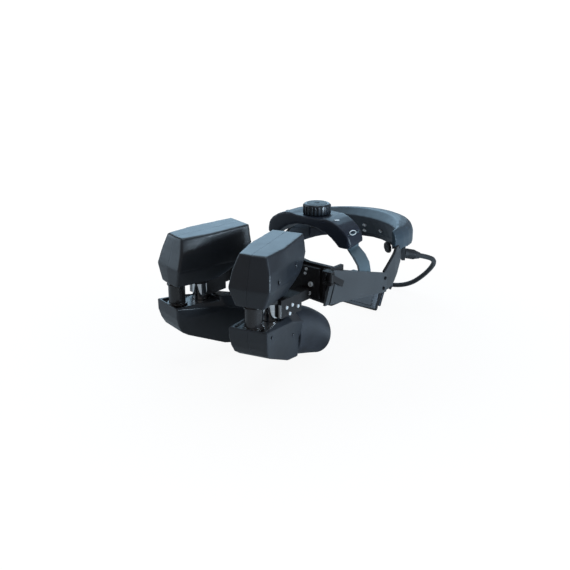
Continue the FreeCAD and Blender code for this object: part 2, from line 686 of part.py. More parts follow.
def brow_frame():
    """The plate across the brow, with its slide slots, cheeks and lever ears."""
    body = new_body("brow_frame")
    half, low, high = cell("frame_half"), cell("frame_low"), cell("frame_high")
    crest, thick, front = cell("frame_crest"), cell("frame_thick"), cell("frame_y")
    plate = [(-half, low), (half, low), (half, high), (50.0, high), (42.0, crest),
             (-42.0, crest), (-50.0, high), (-half, high)]
    extrude(body, "Pad", outline(body, "XZ_Plane", plate, along=-front), thick, backwards=True)
    slot_low, slot_high = cell("slot_low"), cell("slot_high")
    for _, side in SIDES:
        slot = [(27.0 * side, slot_low), (68.0 * side, slot_low), (68.0 * side, slot_high),
                (27.0 * side, slot_high)]
        extrude(body, "Pocket", outline(body, "XZ_Plane", slot, along=-front), 30.0,
                symmetric=True)
    for _, side in SIDES:
        cheek = [(half * side, front + 1), ((half - 3.7) * side, front + 1),
                 ((half - 3.7) * side, -45.0), (half * side, -45.0)]
        extrude(body, "Pad", outline(body, "XY_Plane", cheek, along=75.0), 34.0)
        rib = [(71.5 * side, low + 1), (75.0 * side, low + 1), (75.0 * side, low + 10),
               (75.4 * side, high - 2), (71.9 * side, high - 2), (71.5 * side, low + 10)]
        extrude(body, "Pad", outline(body, "XZ_Plane", rib, along=2.5 - front), 3.5,
                backwards=True)
    lever_x, lever_y = cell("lever_x"), cell("lever_y")
    for _, side in SIDES:
        for z in (95.5, 107.6):
            ear = [((half - 3.0) * side, lever_y - 3.4), ((lever_x + 2.6) * side, lever_y - 3.4),
                   ((lever_x + 2.6) * side, lever_y + 2.4), (half * side, lever_y + 5.0),
                   (half * side, front + 3.0), ((half - 3.0) * side, front + 3.0)]
            extrude(body, "Pad", outline(body, "XY_Plane", ear, along=z), 2.0)
        bore = circles(body, "XY_Plane", [(lever_x * side, lever_y, 1.6)], along=90.0)
        extrude(body, "Pocket", bore, 25.0, backwards=True)
    return register("brow_frame", body)


def frame_clip(name, side):
    """Grey end plate in line with the side band, ahead of its slanted front edge."""
    body = new_body(name)
    points = [(-71.2, 94.0), (-64.4, 94.0), (-72.6, 73.6), (-79.2, 73.6)]
    sketch = outline(body, "YZ_Plane", points, along=(cell("frame_half") + 0.05) * side)
    extrude(body, "Pad", sketch, 2.6, backwards=side < 0)
    return register(name, body)


def thumb_lever(name, side):
    """Cam lever that locks the brow frame to the side band."""
    pin = rod(1.54, 13.9, (0, 0, 95.6))
    boss = rod(2.7, 9.4, (0, 0, 97.8))
    arm = doc.addObject("Part::Wedge", "Wedge")
    arm.Xmin, arm.Ymin, arm.Zmin = -1.3, 0.0, -1.6
    arm.X2min, arm.Z2min = -1.0, -3.6
    arm.Xmax, arm.Ymax, arm.Zmax = 1.3, 22.0, 4.0
    arm.X2max, arm.Z2max = 1.0, 2.8
    arm.Placement = FreeCAD.Placement(Vector(0, 0.5, 102.2),
                                      FreeCAD.Rotation(Vector(1, 0, 0), -27))
    item = fuse(pin, boss, arm)
    return register(name, item, cell("lever_x") * side, cell("lever_y"), 0.0)


def brow_pad():
    """Soft pad behind the brow frame."""
    body = new_body("brow_pad")
    back = [(75.6, -34.0), (70.0, -34.0), (64.0, -44.0), (48.0, -50.0), (22.0, -53.5)]
    right = [(-x, y) for x, y in reversed(back)]
    points = back + right + [(-75.6, -57.5), (75.6, -57.5)]
    extrude(body, "Pad", outline(body, "XY_Plane", points, along=62.5), 38.5)
    return register("brow_pad", body)


# ---------------------------------------------------------------- headband

def side_band(name, side):
    """Stiff grey band along the temple, falling and narrowing towards the rear."""
    body = new_body(name)
    bend = cell("bend_y")
    points = [(-65.6, 108.4), (bend, 80.4), (bend + 1.0, 58.0), (-71.2, 73.0), (-63.0, 94.6)]
    sketch = outline(body, "YZ_Plane", points, along=cell("band_inner") * side)
    extrude(body, "Pad", sketch, cell("band_thick"), backwards=side < 0)
    return register(name, body)


def band_curve(inset):
    """Plan of the rear band's outer face, moved inwards by inset."""
    outer = [(79.9, 16.0), (79.9, 38.0), (77.5, 58.0), (72.0, 78.0), (63.0, 94.5),
             (50.0, 109.5), (33.0, 123.0), (16.0, 131.5), (0.0, 134.5)]
    curve = []
    for i, (x, y) in enumerate(outer):
        before, after = outer[max(i - 1, 0)], outer[min(i + 1, len(outer) - 1)]
        along = Vector(after[0] - before[0], after[1] - before[1], 0)
        if i == len(outer) - 1:
            along = Vector(-1, 0, 0)
        along.normalize()
        curve.append((x - along.y * inset, y + along.x * inset))
    return curve


def band_strip(body, outside, inside, low, high):
    """Pad a strip between two offsets of the rear band's curve, right round the back."""
    outer, inner = band_curve(outside), band_curve(inside)
    points = (outer + [(-x, y) for x, y in reversed(outer[:-1])]
              + [(-x, y) for x, y in inner[:-1]] + list(reversed(inner)))
    return extrude(body, "Pad", outline(body, "XY_Plane", points, along=low), high - low)


def rear_band():
    """Band around the back of the head, riveted inside the side bands."""
    body = new_body("rear_band")
    band_strip(body, 0.0, 2.2, 50.0, 112.0)
    above = [(0.0, 88.0), (33.0, 80.0), (44.0, 87.0), (56.0, 94.5), (64.0, 101.0),
             (160.0, 101.0), (160.0, 130.0), (0.0, 130.0)]
    extrude(body, "Pocket", outline(body, "YZ_Plane", above), 200.0, symmetric=True)
    below = [(0.0, 61.0), (34.0, 58.2), (44.0, 58.0), (54.0, 60.5), (68.0, 69.0), (77.0, 79.0),
             (100.0, 83.5), (160.0, 84.0), (160.0, 30.0), (0.0, 30.0)]
    extrude(body, "Pocket", outline(body, "YZ_Plane", below), 200.0, symmetric=True)
    return register("rear_band", body)


def band_rivets():
    """Rivets that join the side bands to the rear band."""
    items = []
    for _, side in SIDES:
        for y, z in ((30.0, 75.0), (27.5, 64.0)):
            head_x = cell("band_inner") + cell("band_thick")
            items.append(rod(1.9, 0.9, (head_x * side, y, z), (side, 0, 0)))
    return register("band_rivets", group(*items))


def crown_strap(name, side):
    """Flexible strap from inside the side band up into the foot of the crown piece."""
    body = new_body(name)
    thick, leg, wide = cell("strap_thick"), cell("leg_x"), cell("strap_width") / 2
    leg_y = cell("leg_y")
    rows = ((125.0, leg, thick, leg_y), (108.5, leg, thick, leg_y),
            (106.6, as_size(52.8), thick * 1.6, leg_y), (102.8, as_size(61.6), thick * 2.4, 6.0),
            (97.0, as_size(71.6), thick * 1.7, 0.6), (90.0, as_size(77.0), thick * 1.2, -3.4),
            (84.0, as_size(78.1), thick, -4.0), (70.0, as_size(78.1), thick, -4.0))
    sections = []
    for z, near, through, middle in rows:
        middle = as_size(middle)
        points = [(near * side, middle - wide), ((near + through) * side, middle - wide),
                  ((near + through) * side, middle + wide), (near * side, middle + wide)]
        sections.append(outline(body, "XY_Plane", points, along=z))
    loft(body, "AdditiveLoft", sections)
    return register(name, body)


# ---------------------------------------------------------------- crown

def crown_pad():
    """Moulded arch over the head: a seat for the knob and two legs that take the straps."""
    body = new_body("crown_pad")
    knob_y, seat = cell("knob_y"), cell("knob_low") - 0.3
    over = [(0.0, seat), (16.6, seat), (24.0, seat + 1.4), (33.0, seat + 0.2),
            (42.0, seat - 3.2), (50.0, seat - 8.2), (55.0, seat - 14.0), (57.6, seat - 21.0),
            (57.6, seat - 30.0)]
    under = [(0.0, 128.0), (15.0, 126.8), (26.0, 123.2), (34.0, 118.4), (41.0, 112.6),
             (46.0, 107.0)]
    right = over[1:] + list(reversed(under[1:]))
    points = [over[0]] + right + [under[0]] + [(-x, z) for x, z in reversed(right)]
    extrude(body, "Pad", outline(body, "XZ_Plane", points, along=-knob_y), 70.0, symmetric=True)
    low = [(-40.0, 90.0), (60.0, 90.0), (60.0, 121.0), (-40.0, 103.4)]
    for sign in (1, -1):
        extrude(body, "Pocket", outline(body, "YZ_Plane", low, along=38.0 * sign), 60.0,
                       backwards=sign > 0)
    front = [(0.0, -6.0), (24.0, -5.6), (46.0, -4.6), (54.0, -4.0), (59.0, -1.5), (80.0, -1.5),
             (80.0, -60.0), (0.0, -60.0)]
    rear = [(0.0, 37.0), (16.0, 35.0), (30.0, 29.5), (44.0, 25.5), (54.0, 24.0), (59.0, 21.5),
            (80.0, 21.5), (80.0, 90.0), (0.0, 90.0)]
    for sign in (1, -1):
        for edge in (front, rear):
            mirrored = [(x * sign, y) for x, y in edge]
            extrude(body, "Pocket", outline(body, "XY_Plane", mirrored, along=60.0), 120.0,
                    backwards=True)
    leg_x, leg_y, thick = cell("leg_x"), cell("leg_y"), cell("strap_thick")
    wide = cell("strap_width") / 2 + 0.6
    for _, side in SIDES:
        pocket = [((leg_x - 0.6) * side, leg_y - wide), ((leg_x + thick + 0.6) * side, leg_y - wide),
                  ((leg_x + thick + 0.6) * side, leg_y + wide), ((leg_x - 0.6) * side, leg_y + wide)]
        bottom = outline(body, "XY_Plane", pocket, along=100.0)
        extrude(body, "Pocket", bottom, 26.0, backwards=True)
    bore = circles(body, "XY_Plane", [(0.0, knob_y, 4.06)], along=110.0)
    extrude(body, "Pocket", bore, 60.0, backwards=True)
    return register("crown_pad", body)


def crown_knob():
    """Ribbed height knob."""
    body = new_body("crown_knob")
    radius, low, high = cell("knob_r"), cell("knob_low"), cell("knob_high")
    profile = [(4.1, low), (radius - 1.4, low), (radius - 0.8, low + 1.0),
               (radius - 0.8, high - 2.2), (radius - 2.4, high - 0.5), (radius - 4.5, high),
               (4.1, high)]
    sketch = outline(body, "XZ_Plane", profile)
    turn = body.newObject("PartDesign::Revolution", "Revolution")
    turn.Profile = sketch
    turn.ReferenceAxis = (sketch, ["V_Axis"])
    turn.Angle = 360
    rib = circles(body, "XY_Plane", [(radius - 1.1, 0.0, 1.1)], along=low + 1.2)
    first = extrude(body, "Pad", rib, high - low - 3.4)
    doc.recompute()
    ribs = body.newObject("PartDesign::PolarPattern", "Ribs")
    ribs.Originals = [first]
    ribs.Axis = (sketch, ["V_Axis"])
    ribs.Angle = 360
    ribs.Occurrences = 24
    body.Tip = ribs
    return register("crown_knob", body, 0.0, cell("knob_y"), 0.0)


def knob_spindle():
    """Spindle that joins the knob to the pinion under the crown."""
    low, high = cell("knob_low"), cell("knob_high")
    profile = [(0.0, low - 15.6), (7.4, low - 15.6), (7.4, low - 13.0), (4.0, low - 13.0),
               (4.0, high - 0.9), (0.0, high - 0.9)]
    return turned("knob_spindle", profile, 0.0, cell("knob_y"), 0.0)


# ---------------------------------------------------------------- rear housing

def half_oval(body, front, wide, deep, z, turn=None):
    """Rear half of an oval as a faceted outline with a straight front edge."""
    arc = [math.pi * i / 18 for i in range(19)]
    points = [(wide * math.cos(angle), deep * math.sin(angle)) for angle in arc]
    points = [(x, max(y, 0.0)) for x, y in points]
    return outline(body, "XY_Plane", points, along=z, shift=(0.0, front), turn=turn)


def hood(label, inset, below):
    """Half of a domed oval with a scooped front, above a sloping plane.

    The dome and the scoop close in on each other by inset. The plane is given by its
    heights at the housing's centre line and at its tail.
    """
    body = new_body(label)
    front, top = cell("rear_centre_y") + inset, cell("rear_top") - inset
    half, depth = cell("rear_half").value - inset, cell("rear_depth").value - inset * 2
    fall = FreeCAD.Rotation(Vector(1, 0, 0), -cell("rear_fall").value)
    dome = ((50.0, 0.0), (17.0, 0.0), (11.0, 2.0), (7.0, 6.0), (3.6, 16.0), (1.2, 32.0),
            (0.0, 52.0))
    rings = [half_oval(body, front, half - shrink, depth - shrink, top - lower, fall)
             for lower, shrink in dome]
    loft(body, "AdditiveLoft", rings)
    low_start, low_end = below
    under = [(30.0, low_start + 4.1), (190.0, low_end - 1.8), (190.0, 20.0), (30.0, 20.0)]
    extrude(body, "Pocket", outline(body, "YZ_Plane", under), 200.0, symmetric=True)
    spread = half + inset * 2.6
    rim = as_size(114.0 - inset * 1.3)
    scoop = [half_oval(body, front - 8.0, spread - 6.5, 43.0 + inset, as_size(127.0)),
             half_oval(body, front - 8.0, spread - 3.0, 94.0 + inset, as_size(60.0))]
    loft(body, "SubtractiveLoft", scoop)
    brow = [half_oval(body, front - 8.0, spread - 6.8, 49.0 + inset, rim),
            half_oval(body, front - 8.0, spread - 2.8, 86.0 + inset, rim + 14.0)]
    loft(body, "SubtractiveLoft", brow)
    return body


def rear_housing():
    """Hood over the back of the head that holds the board and the counterweight."""
    shell = hood("rear_hood", 0.0, (97.0, 85.0))
    cavity = hood("rear_cavity", cell("rear_wall").value, (88.0, 76.0))
    slot = new_body("band_slot")
    band_strip(slot, -0.1, 4.4, 50.0, 101.2)
    return register("rear_housing", cut(shell, cavity, slot))


def rear_floor():
    """Cover plate under the rear housing, behind the rear band."""
    inside = hood("floor_outline", cell("rear_wall").value + 0.15, (88.0, 76.0))
    slab = new_body("floor_slab")
    points = [(40.0, 100.4), (190.0, 83.4), (190.0, 85.4), (40.0, 102.4)]
    extrude(slab, "Pad", outline(slab, "YZ_Plane", points), 200.0, symmetric=True)
    plate = doc.addObject("Part::MultiCommon", "FloorPlate")
    plate.Shapes = [inside, slab]
    core = new_body("band_core")
    outer = band_curve(-0.1)
    plan = outer + [(-x, y) for x, y in reversed(outer[:-1])]
    extrude(core, "Pad", outline(core, "XY_Plane", plan, along=60.0), 60.0)
    return register("rear_floor", cut(plate, core))


def interface_board():
    board = block((-24.0, 137.0, 93.0), (24.0, 138.6, 106.0))
    chips = [block((x, 138.6, 95.0), (x + 9, 140.5, 103.0)) for x in (-21.0, -5.0, 11.0)]
    return register("interface_board", fuse(board, *chips))


def counterweight():
    """Steel bar in the tail of the rear housing that balances the pods."""
    return register("counterweight", block((-26.0, 142.0, 92.0), (26.0, 152.0, 107.0)))


def rear_panel():
    """Black inner panel on the front of the rear band."""
    body = new_body("rear_panel")
    band_strip(body, 2.3, 4.3, 84.4, 100.6)
    front = [(0.0, 60.0), (85.0, 60.0), (85.0, 110.0), (0.0, 110.0)]
    extrude(body, "Pocket", outline(body, "YZ_Plane", front), 200.0, symmetric=True)
    return register("rear_panel", body)


def rear_screws():
    """Screws in the inner wall of the rear housing, square to its slope."""
    places = (((-2.9, 114.9, 103.5), (0.03, -0.79, -0.61)),
              ((-6.9, 121.4, 94.6), (0.09, -0.79, -0.61)),
              ((20.5, 115.1, 99.6), (-0.22, -0.79, -0.57)))
    items = [cap_screw(2.2, 1.6, place, aim, reach=2.0) for place, aim in places]
    return register("rear_screws", group(*items))


def occipital_pad():
    """Small oval cushion on the inner panel."""
    body = new_body("occipital_pad")
    first = ellipse(body, "XZ_Plane", 0.0, 0.0, 10.0, 7.0)
    extrude(body, "Pad", first, 5.0)
    aim = FreeCAD.Rotation(Vector(0, 0, 1), -38.5)
    return register("occipital_pad", body, 33.4, 116.0, 81.0, rotation=aim)


def nape_yoke():
    """Plate behind the nape cushion with two arms that rise to the ends of the rear band."""
    body = new_body("nape_yoke")
    points = [(127.1, 38.0), (121.0, 20.0), (113.0, 3.5), (109.0, 5.5), (117.0, 22.0),
              (122.6, 38.0)]
    extrude(body, "Pad", outline(body, "YZ_Plane", points), cell("nape_half") * 2,
            symmetric=True)
    # Sections of an arm: distance along Y, then its least and greatest X and Z.
    arm = ((124.5, 12.0, 24.0, 31.0, 37.5), (118.0, 32.0, 37.5, 29.5, 37.5),
           (92.0, 49.5, 53.0, 37.5, 46.0), (70.0, 65.6, 68.4, 51.0, 59.0),
           (50.0, 73.4, 76.0, 59.5, 67.0))
    for _, side in SIDES:
        sections = []
        for y, near, far, low, high in arm:
            corners = [(near * side, low), (far * side, low), (far * side, high),
                       (near * side, high)]
            sections.append(outline(body, "XZ_Plane", corners, along=-y))
        loft(body, "AdditiveLoft", sections)
    return register("nape_yoke", body)


def nape_pad():
    """Cushion on the nape plate; its lower edge is the rear foot of the visor."""
    body = new_body("nape_pad")
    points = [(121.5, 36.0), (116.5, 22.1), (108.6, 5.6), (106.5, 0.0), (101.0, 0.0),
              (98.5, 6.0), (107.0, 27.0), (111.0, 36.0)]
    extrude(body, "Pad", outline(body, "YZ_Plane", points), (cell("nape_half") + 1.5) * 2,
            symmetric=True)
    return register("nape_pad", body)


# ---------------------------------------------------------------- cable

GLAND_START = Vector(60.5, 101.4, 82.7)
GLAND_AIM = Vector(0.3, 0.91, -0.28).normalize()
GLAND_LENGTH = 26.0
GLAND_END = GLAND_START + GLAND_AIM * GLAND_LENGTH

# Route of the free cable from the end of the gland to the coil.
CABLE_ROUTE = [
    tuple(GLAND_END),
    tuple(GLAND_END + GLAND_AIM * 18.5),
    (71.5, 160.0, 60.5),
    (60.0, 174.0, 46.5),
    (44.0, 182.5, 30.0),
    (24.0, 187.5, 13.5),
    (0.0, 190.0, 4.2),
    (-28.0, 189.0, 3.1),
    (-54.0, 184.0, 3.1),
]


def cable_gland():
    """Strain relief on a tab that hangs from the rear floor, behind the rear band."""
    body = new_body("gland_boot")
    profile = [(0.0, 0.0), (5.6, 0.0), (5.6, 17.0), (4.0, GLAND_LENGTH), (0.0, GLAND_LENGTH)]
    feature = body.newObject("PartDesign::Revolution", "Revolution")
    feature.Profile = outline(body, "XZ_Plane", profile)
    feature.ReferenceAxis = (feature.Profile[0], ["V_Axis"])
    feature.Angle = 360
    turn = FreeCAD.Rotation(Vector(0, 0, 1), GLAND_AIM)
    body.Placement = FreeCAD.Placement(GLAND_START, turn)
    tab = new_body("gland_tab")
    along, across = Vector(-0.656, 0.755, 0), Vector(0.755, 0.656, 0)
    foot = Vector(GLAND_START.x, GLAND_START.y, 0)
    corners = [foot + along * (7.0 * first) + across * (2.0 * second)
               for first, second in ((-1, -1), (1, -1), (1, 1), (-1, 1))]
    corners = [(corner.x, corner.y) for corner in corners]
    extrude(tab, "Pad", outline(tab, "XY_Plane", corners, along=75.5), 17.0)
    return register("cable_gland", fuse(body, tab))


def rounded_path(route):
    """Straight runs joined by the largest tangent arcs that they allow."""
    points = [Vector(*place) for place in route]
    edges, start = [], points[0]
    for before, corner, after in zip(points, points[1:], points[2:]):
        back, ahead = before - corner, after - corner
        turn = math.pi - back.getAngle(ahead)
        reach = 0.45 * min(back.Length, ahead.Length)
        back.normalize()
        ahead.normalize()
        first, last = corner + back * reach, corner + ahead * reach
        radius = reach / math.tan(turn / 2)
        bisector = back + ahead
        bisector.normalize()
        middle = corner + bisector * (radius / math.cos(turn / 2) - radius)
        print(f"cable corner {corner.x:.0f},{corner.y:.0f},{corner.z:.0f}: radius {radius:.1f}, "
              f"turn {math.degrees(turn):.0f}")
        edges.append(Part.LineSegment(start, first).toShape())
        edges.append(Part.Arc(first, middle, last).toShape())
        start = last
    edges.append(Part.LineSegment(start, points[-1]).toShape())
    return Part.Wire(edges)


def cable():
    """The stretch of cable between the gland and the coil."""
    radius = cell("cable_r").value
    path = rounded_path(CABLE_ROUTE)
    aim = path.Edges[0].tangentAt(path.Edges[0].FirstParameter)
    section = Part.Wire([Part.makeCircle(radius, Vector(*CABLE_ROUTE[0]), aim)])
    item = doc.addObject("Part::Feature", "Cable")
    item.Shape = path.makePipeShell([section], True, True)
    expected = math.pi * radius ** 2 * path.Length
    print(f"cable length {path.Length:.0f}, volume {item.Shape.Volume:.0f} of {expected:.0f}")
    return register("cable", item)


def cable_coil():
    """The put-away turns, as one ring of their outer shape."""
    mean, r = cell("coil_mean_r"), cell("cable_r")
    inner, outer, high = mean - r * 3, mean + r * 3, r * 4
    profile = [(inner, 1.2), (inner + 1.2, 0.1), (outer - 1.2, 0.1), (outer, 1.2),
               (outer, high - 1.2), (outer - 1.2, high), (inner + 1.2, high), (inner, high - 1.2)]
    return turned("cable_coil", profile, cell("coil_x"), cell("coil_y"), 0.0)


def cable_plug():
    """Round multi-pin plug lying inside the coil."""
    profile = [(0.0, 0.0), (3.4, 0.0), (4.4, 10.0), (6.8, 11.0), (6.8, 27.0), (5.6, 28.0),
               (5.6, 36.0), (4.6, 36.0), (4.6, 29.0), (0.0, 29.0)]
    turn = FreeCAD.Rotation(Vector(0, 0, 1), Vector(1, 0.25, 0))
    x, y = cell("coil_x") - 17.5, cell("coil_y") - 4.4
    return turned("cable_plug", profile, x, y, 7.0, rotation=turn)


# ---------------------------------------------------------------- assembly

def build_pod(word, side):
    """Every piece of one pod."""
    for outer, part in ((True, "outer"), (False, "inner")):
        upper_shell(f"upper_shell_{part}_{word}", side, outer)
        lower_shell(f"lower_shell_{part}_{word}", side, outer)
    front_column(f"front_column_{word}", side)
    relay_barrel(f"relay_barrel_{word}", side)
    relay_lenses(f"relay_lenses_{word}", side)
    display_module(f"display_module_{word}", side)
    fold_mirror(f"fold_mirror_{word}", side)
    eyepiece_barrel(f"eyepiece_barrel_{word}", side)
    eyepiece_lens(f"eyepiece_lens_{word}", side)
    eyecup(f"eyecup_{word}", side)
    pod_screws(f"pod_screws_{word}", side)


def build_sides():
    """Pieces that come as a left and a right one."""
    for word, side in SIDES:
        build_pod(word, side)
        carriage(f"carriage_{word}", side)
        slide_clamp(f"slide_clamp_{word}", side)
        carriage_screws(f"carriage_screws_{word}", side)
        frame_clip(f"frame_clip_{word}", side)
        thumb_lever(f"thumb_lever_{word}", side)
        side_band(f"side_band_{word}", side)
        crown_strap(f"crown_strap_{word}", side)


def build_centre():
    """Pieces on the mid-plane, and the cable."""
    brow_frame()
    brow_pad()
    rear_band()
    band_rivets()
    crown_pad()
    crown_knob()
    knob_spindle()
    rear_housing()
    rear_floor()
    interface_board()
    counterweight()
    rear_panel()
    rear_screws()
    occipital_pad()
    nape_yoke()
    nape_pad()
    cable_gland()
    cable()
    cable_coil()
    cable_plug()


def check_objects():
    """Stop on any failed object or bad shape."""
    failed = [item.Name for item in doc.Objects
              if {"Invalid", "Error"} & set(item.State)]
    if failed:
        raise RuntimeError("failed objects: " + ", ".join(failed))
    for label, item in subparts.items():
        shape = item.Shape
        if shape.isNull() or not shape.isValid() or not shape.Solids:
            raise RuntimeError("bad shape: " + label)


def write_parts():
    os.makedirs("parts", exist_ok=True)
    for label, item in subparts.items():
        item.Shape.exportStep(os.path.join("parts", label + ".step"))


build_sides()
build_centre()
doc.recompute()
check_objects()
write_parts()
print("sub-parts:", len(subparts))
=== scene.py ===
import json
import logging
import math
from dataclasses import dataclass
from enum import Enum
from typing import Optional, Sequence

import bmesh
import bpy
from mathutils import Matrix, Vector

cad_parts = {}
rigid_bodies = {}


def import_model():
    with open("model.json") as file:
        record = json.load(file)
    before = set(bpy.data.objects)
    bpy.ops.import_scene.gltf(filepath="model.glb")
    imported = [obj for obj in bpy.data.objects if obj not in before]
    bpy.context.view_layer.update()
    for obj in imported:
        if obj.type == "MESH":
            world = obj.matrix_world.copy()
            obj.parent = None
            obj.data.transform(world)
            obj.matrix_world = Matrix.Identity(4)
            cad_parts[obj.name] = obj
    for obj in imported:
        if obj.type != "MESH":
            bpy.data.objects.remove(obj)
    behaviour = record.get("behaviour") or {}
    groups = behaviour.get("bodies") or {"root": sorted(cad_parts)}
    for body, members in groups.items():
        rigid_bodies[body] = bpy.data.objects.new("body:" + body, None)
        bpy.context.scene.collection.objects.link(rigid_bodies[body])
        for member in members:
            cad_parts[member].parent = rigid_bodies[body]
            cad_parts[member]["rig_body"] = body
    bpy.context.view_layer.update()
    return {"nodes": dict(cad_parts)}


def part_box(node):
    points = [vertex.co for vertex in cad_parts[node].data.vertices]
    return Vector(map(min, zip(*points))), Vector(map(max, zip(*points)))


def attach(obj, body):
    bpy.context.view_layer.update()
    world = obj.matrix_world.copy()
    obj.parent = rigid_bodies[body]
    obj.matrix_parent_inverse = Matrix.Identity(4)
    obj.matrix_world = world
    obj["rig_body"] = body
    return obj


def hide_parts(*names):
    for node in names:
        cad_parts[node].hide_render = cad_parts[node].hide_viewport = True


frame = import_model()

MM = 0.001
SHIFT_Y = 2.9  # from the design's Y to the row frame's, in millimetres
HEAD_Y = 0.04  # middle of the head, in metres
WELD = 2e-6  # metres within which loose corners are one
SIDES = (("left", 1), ("right", -1))
NODES = frame["nodes"]
log = logging.getLogger("visor")


class Slot(Enum):
    """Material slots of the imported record."""

    POD = "pod_shell"
    BAND = "band_grey"
    HOOD = "hood_grey"
    CROWN = "crown_soft"
    BRACKET = "bracket_black"
    COLUMN = "column_dark"
    BARREL = "barrel_chrome"
    SCREW = "screw_steel"
    DARK_SCREW = "screw_black"
    EYECUP = "eyecup_rubber"
    CABLE = "cable_rubber"
    PAD = "pad_fabric"
    NAPE = "nape_fabric"
    STRAP = "strap_grey"
    GLASS = "optic_glass"
    MIRROR = "mirror_coat"
    EYEPIECE = "barrel_black"
    BOARD = "board"
    WEIGHT = "weight_steel"
    KNOB = "knob_black"


# ---------------- node help


class Nodes:
    """A node tree under construction, with short ways to add and join nodes."""

    def __init__(self, tree: bpy.types.NodeTree) -> None:
        """Work on a tree."""
        self.tree = tree

    def node(self, kind: str, **settings: object) -> bpy.types.Node:
        """Add a node and set its properties."""
        made = self.tree.nodes.new(kind)
        for key, value in settings.items():
            setattr(made, key, value)
        return made

    def feed(self, source: bpy.types.NodeSocket, target: bpy.types.NodeSocket) -> None:
        """Join an output to an input."""
        self.tree.links.new(source, target)

    def math(self, operation: str, *values: "bpy.types.NodeSocket | float"
             ) -> bpy.types.NodeSocket:
        """The result of a math operation on sockets and plain numbers."""
        made = self.node("ShaderNodeMath", operation=operation)
        for socket, value in zip(made.inputs, values):
            if isinstance(value, float):
                socket.default_value = value
            else:
                self.feed(value, socket)
        return made.outputs["Value"]

    def span(self, factor: bpy.types.NodeSocket, low: float, high: float,
             start: float = 0.0, end: float = 1.0) -> bpy.types.NodeSocket:
        """Map a factor from start..end to low..high."""
        made = self.node("ShaderNodeMapRange")
        for key, value in (("From Min", start), ("From Max", end), ("To Min", low),
                           ("To Max", high)):
            made.inputs[key].default_value = value
        self.feed(factor, made.inputs["Value"])
        return made.outputs["Result"]


class Shader(Nodes):
    """One principled material under construction."""

    def __init__(self, name: str) -> None:
        """Start a material of this name."""
        self.material = bpy.data.materials.new(name)
        self.material.use_nodes = True
        super().__init__(self.material.node_tree)
        self.bsdf = self.tree.nodes["Principled BSDF"]
        self.place = self.node("ShaderNodeTexCoord").outputs["Object"]

    def stretched(self, scale: Sequence[float]) -> bpy.types.NodeSocket:
        """Object coordinates multiplied by a scale along each axis."""
        mapping = self.node("ShaderNodeMapping")
        mapping.inputs["Scale"].default_value = scale
        self.feed(self.place, mapping.inputs["Vector"])
        return mapping.outputs["Vector"]

    def noise(self, scale: float, detail: float = 3.0,
              vector: Optional[bpy.types.NodeSocket] = None) -> bpy.types.NodeSocket:
        """A noise factor on object coordinates, or on others, with its cells per metre."""
        made = self.node("ShaderNodeTexNoise")
        made.inputs["Scale"].default_value = scale
        made.inputs["Detail"].default_value = detail
        self.feed(vector or self.place, made.inputs["Vector"])
        return made.outputs["Fac"]

    def ramp(self, factor: bpy.types.NodeSocket, low: Sequence[float], high: Sequence[float],
             start: float = 0.35, end: float = 0.65) -> bpy.types.NodeSocket:
        """A two-colour ramp over a factor."""
        made = self.node("ShaderNodeValToRGB")
        made.color_ramp.elements[0].position = start
        made.color_ramp.elements[1].position = end
        made.color_ramp.elements[0].color = (*low, 1.0)
        made.color_ramp.elements[1].color = (*high, 1.0)
        self.feed(factor, made.inputs["Fac"])
        return made.outputs["Color"]

    def bump(self, height: bpy.types.NodeSocket, distance: float) -> None:
        """Use a height factor as the surface's bump, its full height in metres."""
        made = self.node("ShaderNodeBump")
        made.inputs["Distance"].default_value = distance
        made.inputs["Strength"].default_value = 1.0
        self.feed(height, made.inputs["Height"])
        self.feed(made.outputs["Normal"], self.bsdf.inputs["Normal"])

    def put(self, **values: object) -> None:
        """Set values on the principled shader, with spaces as underscores."""
        for key, value in values.items():
            self.bsdf.inputs[key.replace("_", " ")].default_value = value


Colour = tuple[float, float, float]


def shade(colour: Colour, factor: float) -> Colour:
    """A colour made lighter or darker by a factor."""
    return tuple(min(1.0, part * factor) for part in colour)


@dataclass(frozen=True)
class Moulding:
    """Satin moulded plastic with faint mottling, fine grain and lighter convex edges: edge wear
    and painted edge highlight.
    """

    name: str
    colour: Colour
    roughness: float = 0.42
    grain: float = 0.00003
    grain_scale: float = 2200.0
    mottle: float = 0.12
    # share of lighter colour on convex edges: edge wear and painted edge highlight
    edge_wear_and_highlight: float = 0.35
    coat: float = 0.0

    def build(self) -> bpy.types.Material:
        """Make the material."""
        shader = Shader(self.name)
        cloud = shader.noise(26.0, 4.0)
        body = shader.ramp(cloud, shade(self.colour, 1 - self.mottle),
                           shade(self.colour, 1 + self.mottle))
        # Convex edges lightened: partly edge wear, partly painted edge highlight.
        edge = shader.ramp(shader.node("ShaderNodeNewGeometry").outputs["Pointiness"],
                           (0.0, 0.0, 0.0), (1.0, 1.0, 1.0), 0.52, 0.60)
        worn_and_lit_edge = shader.node("ShaderNodeMix", data_type="RGBA")
        shader.feed(shader.math("MULTIPLY", edge, self.edge_wear_and_highlight), worn_and_lit_edge.inputs["Factor"])
        shader.feed(body, worn_and_lit_edge.inputs["A"])
        worn_and_lit_edge.inputs["B"].default_value = (*shade(self.colour, 2.0), 1.0)
        shader.feed(worn_and_lit_edge.outputs["Result"], shader.bsdf.inputs["Base Color"])
        smear = shader.noise(90.0, 5.0)
        shader.feed(shader.span(smear, self.roughness - 0.07, self.roughness + 0.07),
                    shader.bsdf.inputs["Roughness"])
        shader.bump(shader.noise(self.grain_scale, 2.0), self.grain)
        shader.put(Coat_Weight=self.coat, Coat_Roughness=0.2)
        return shader.material


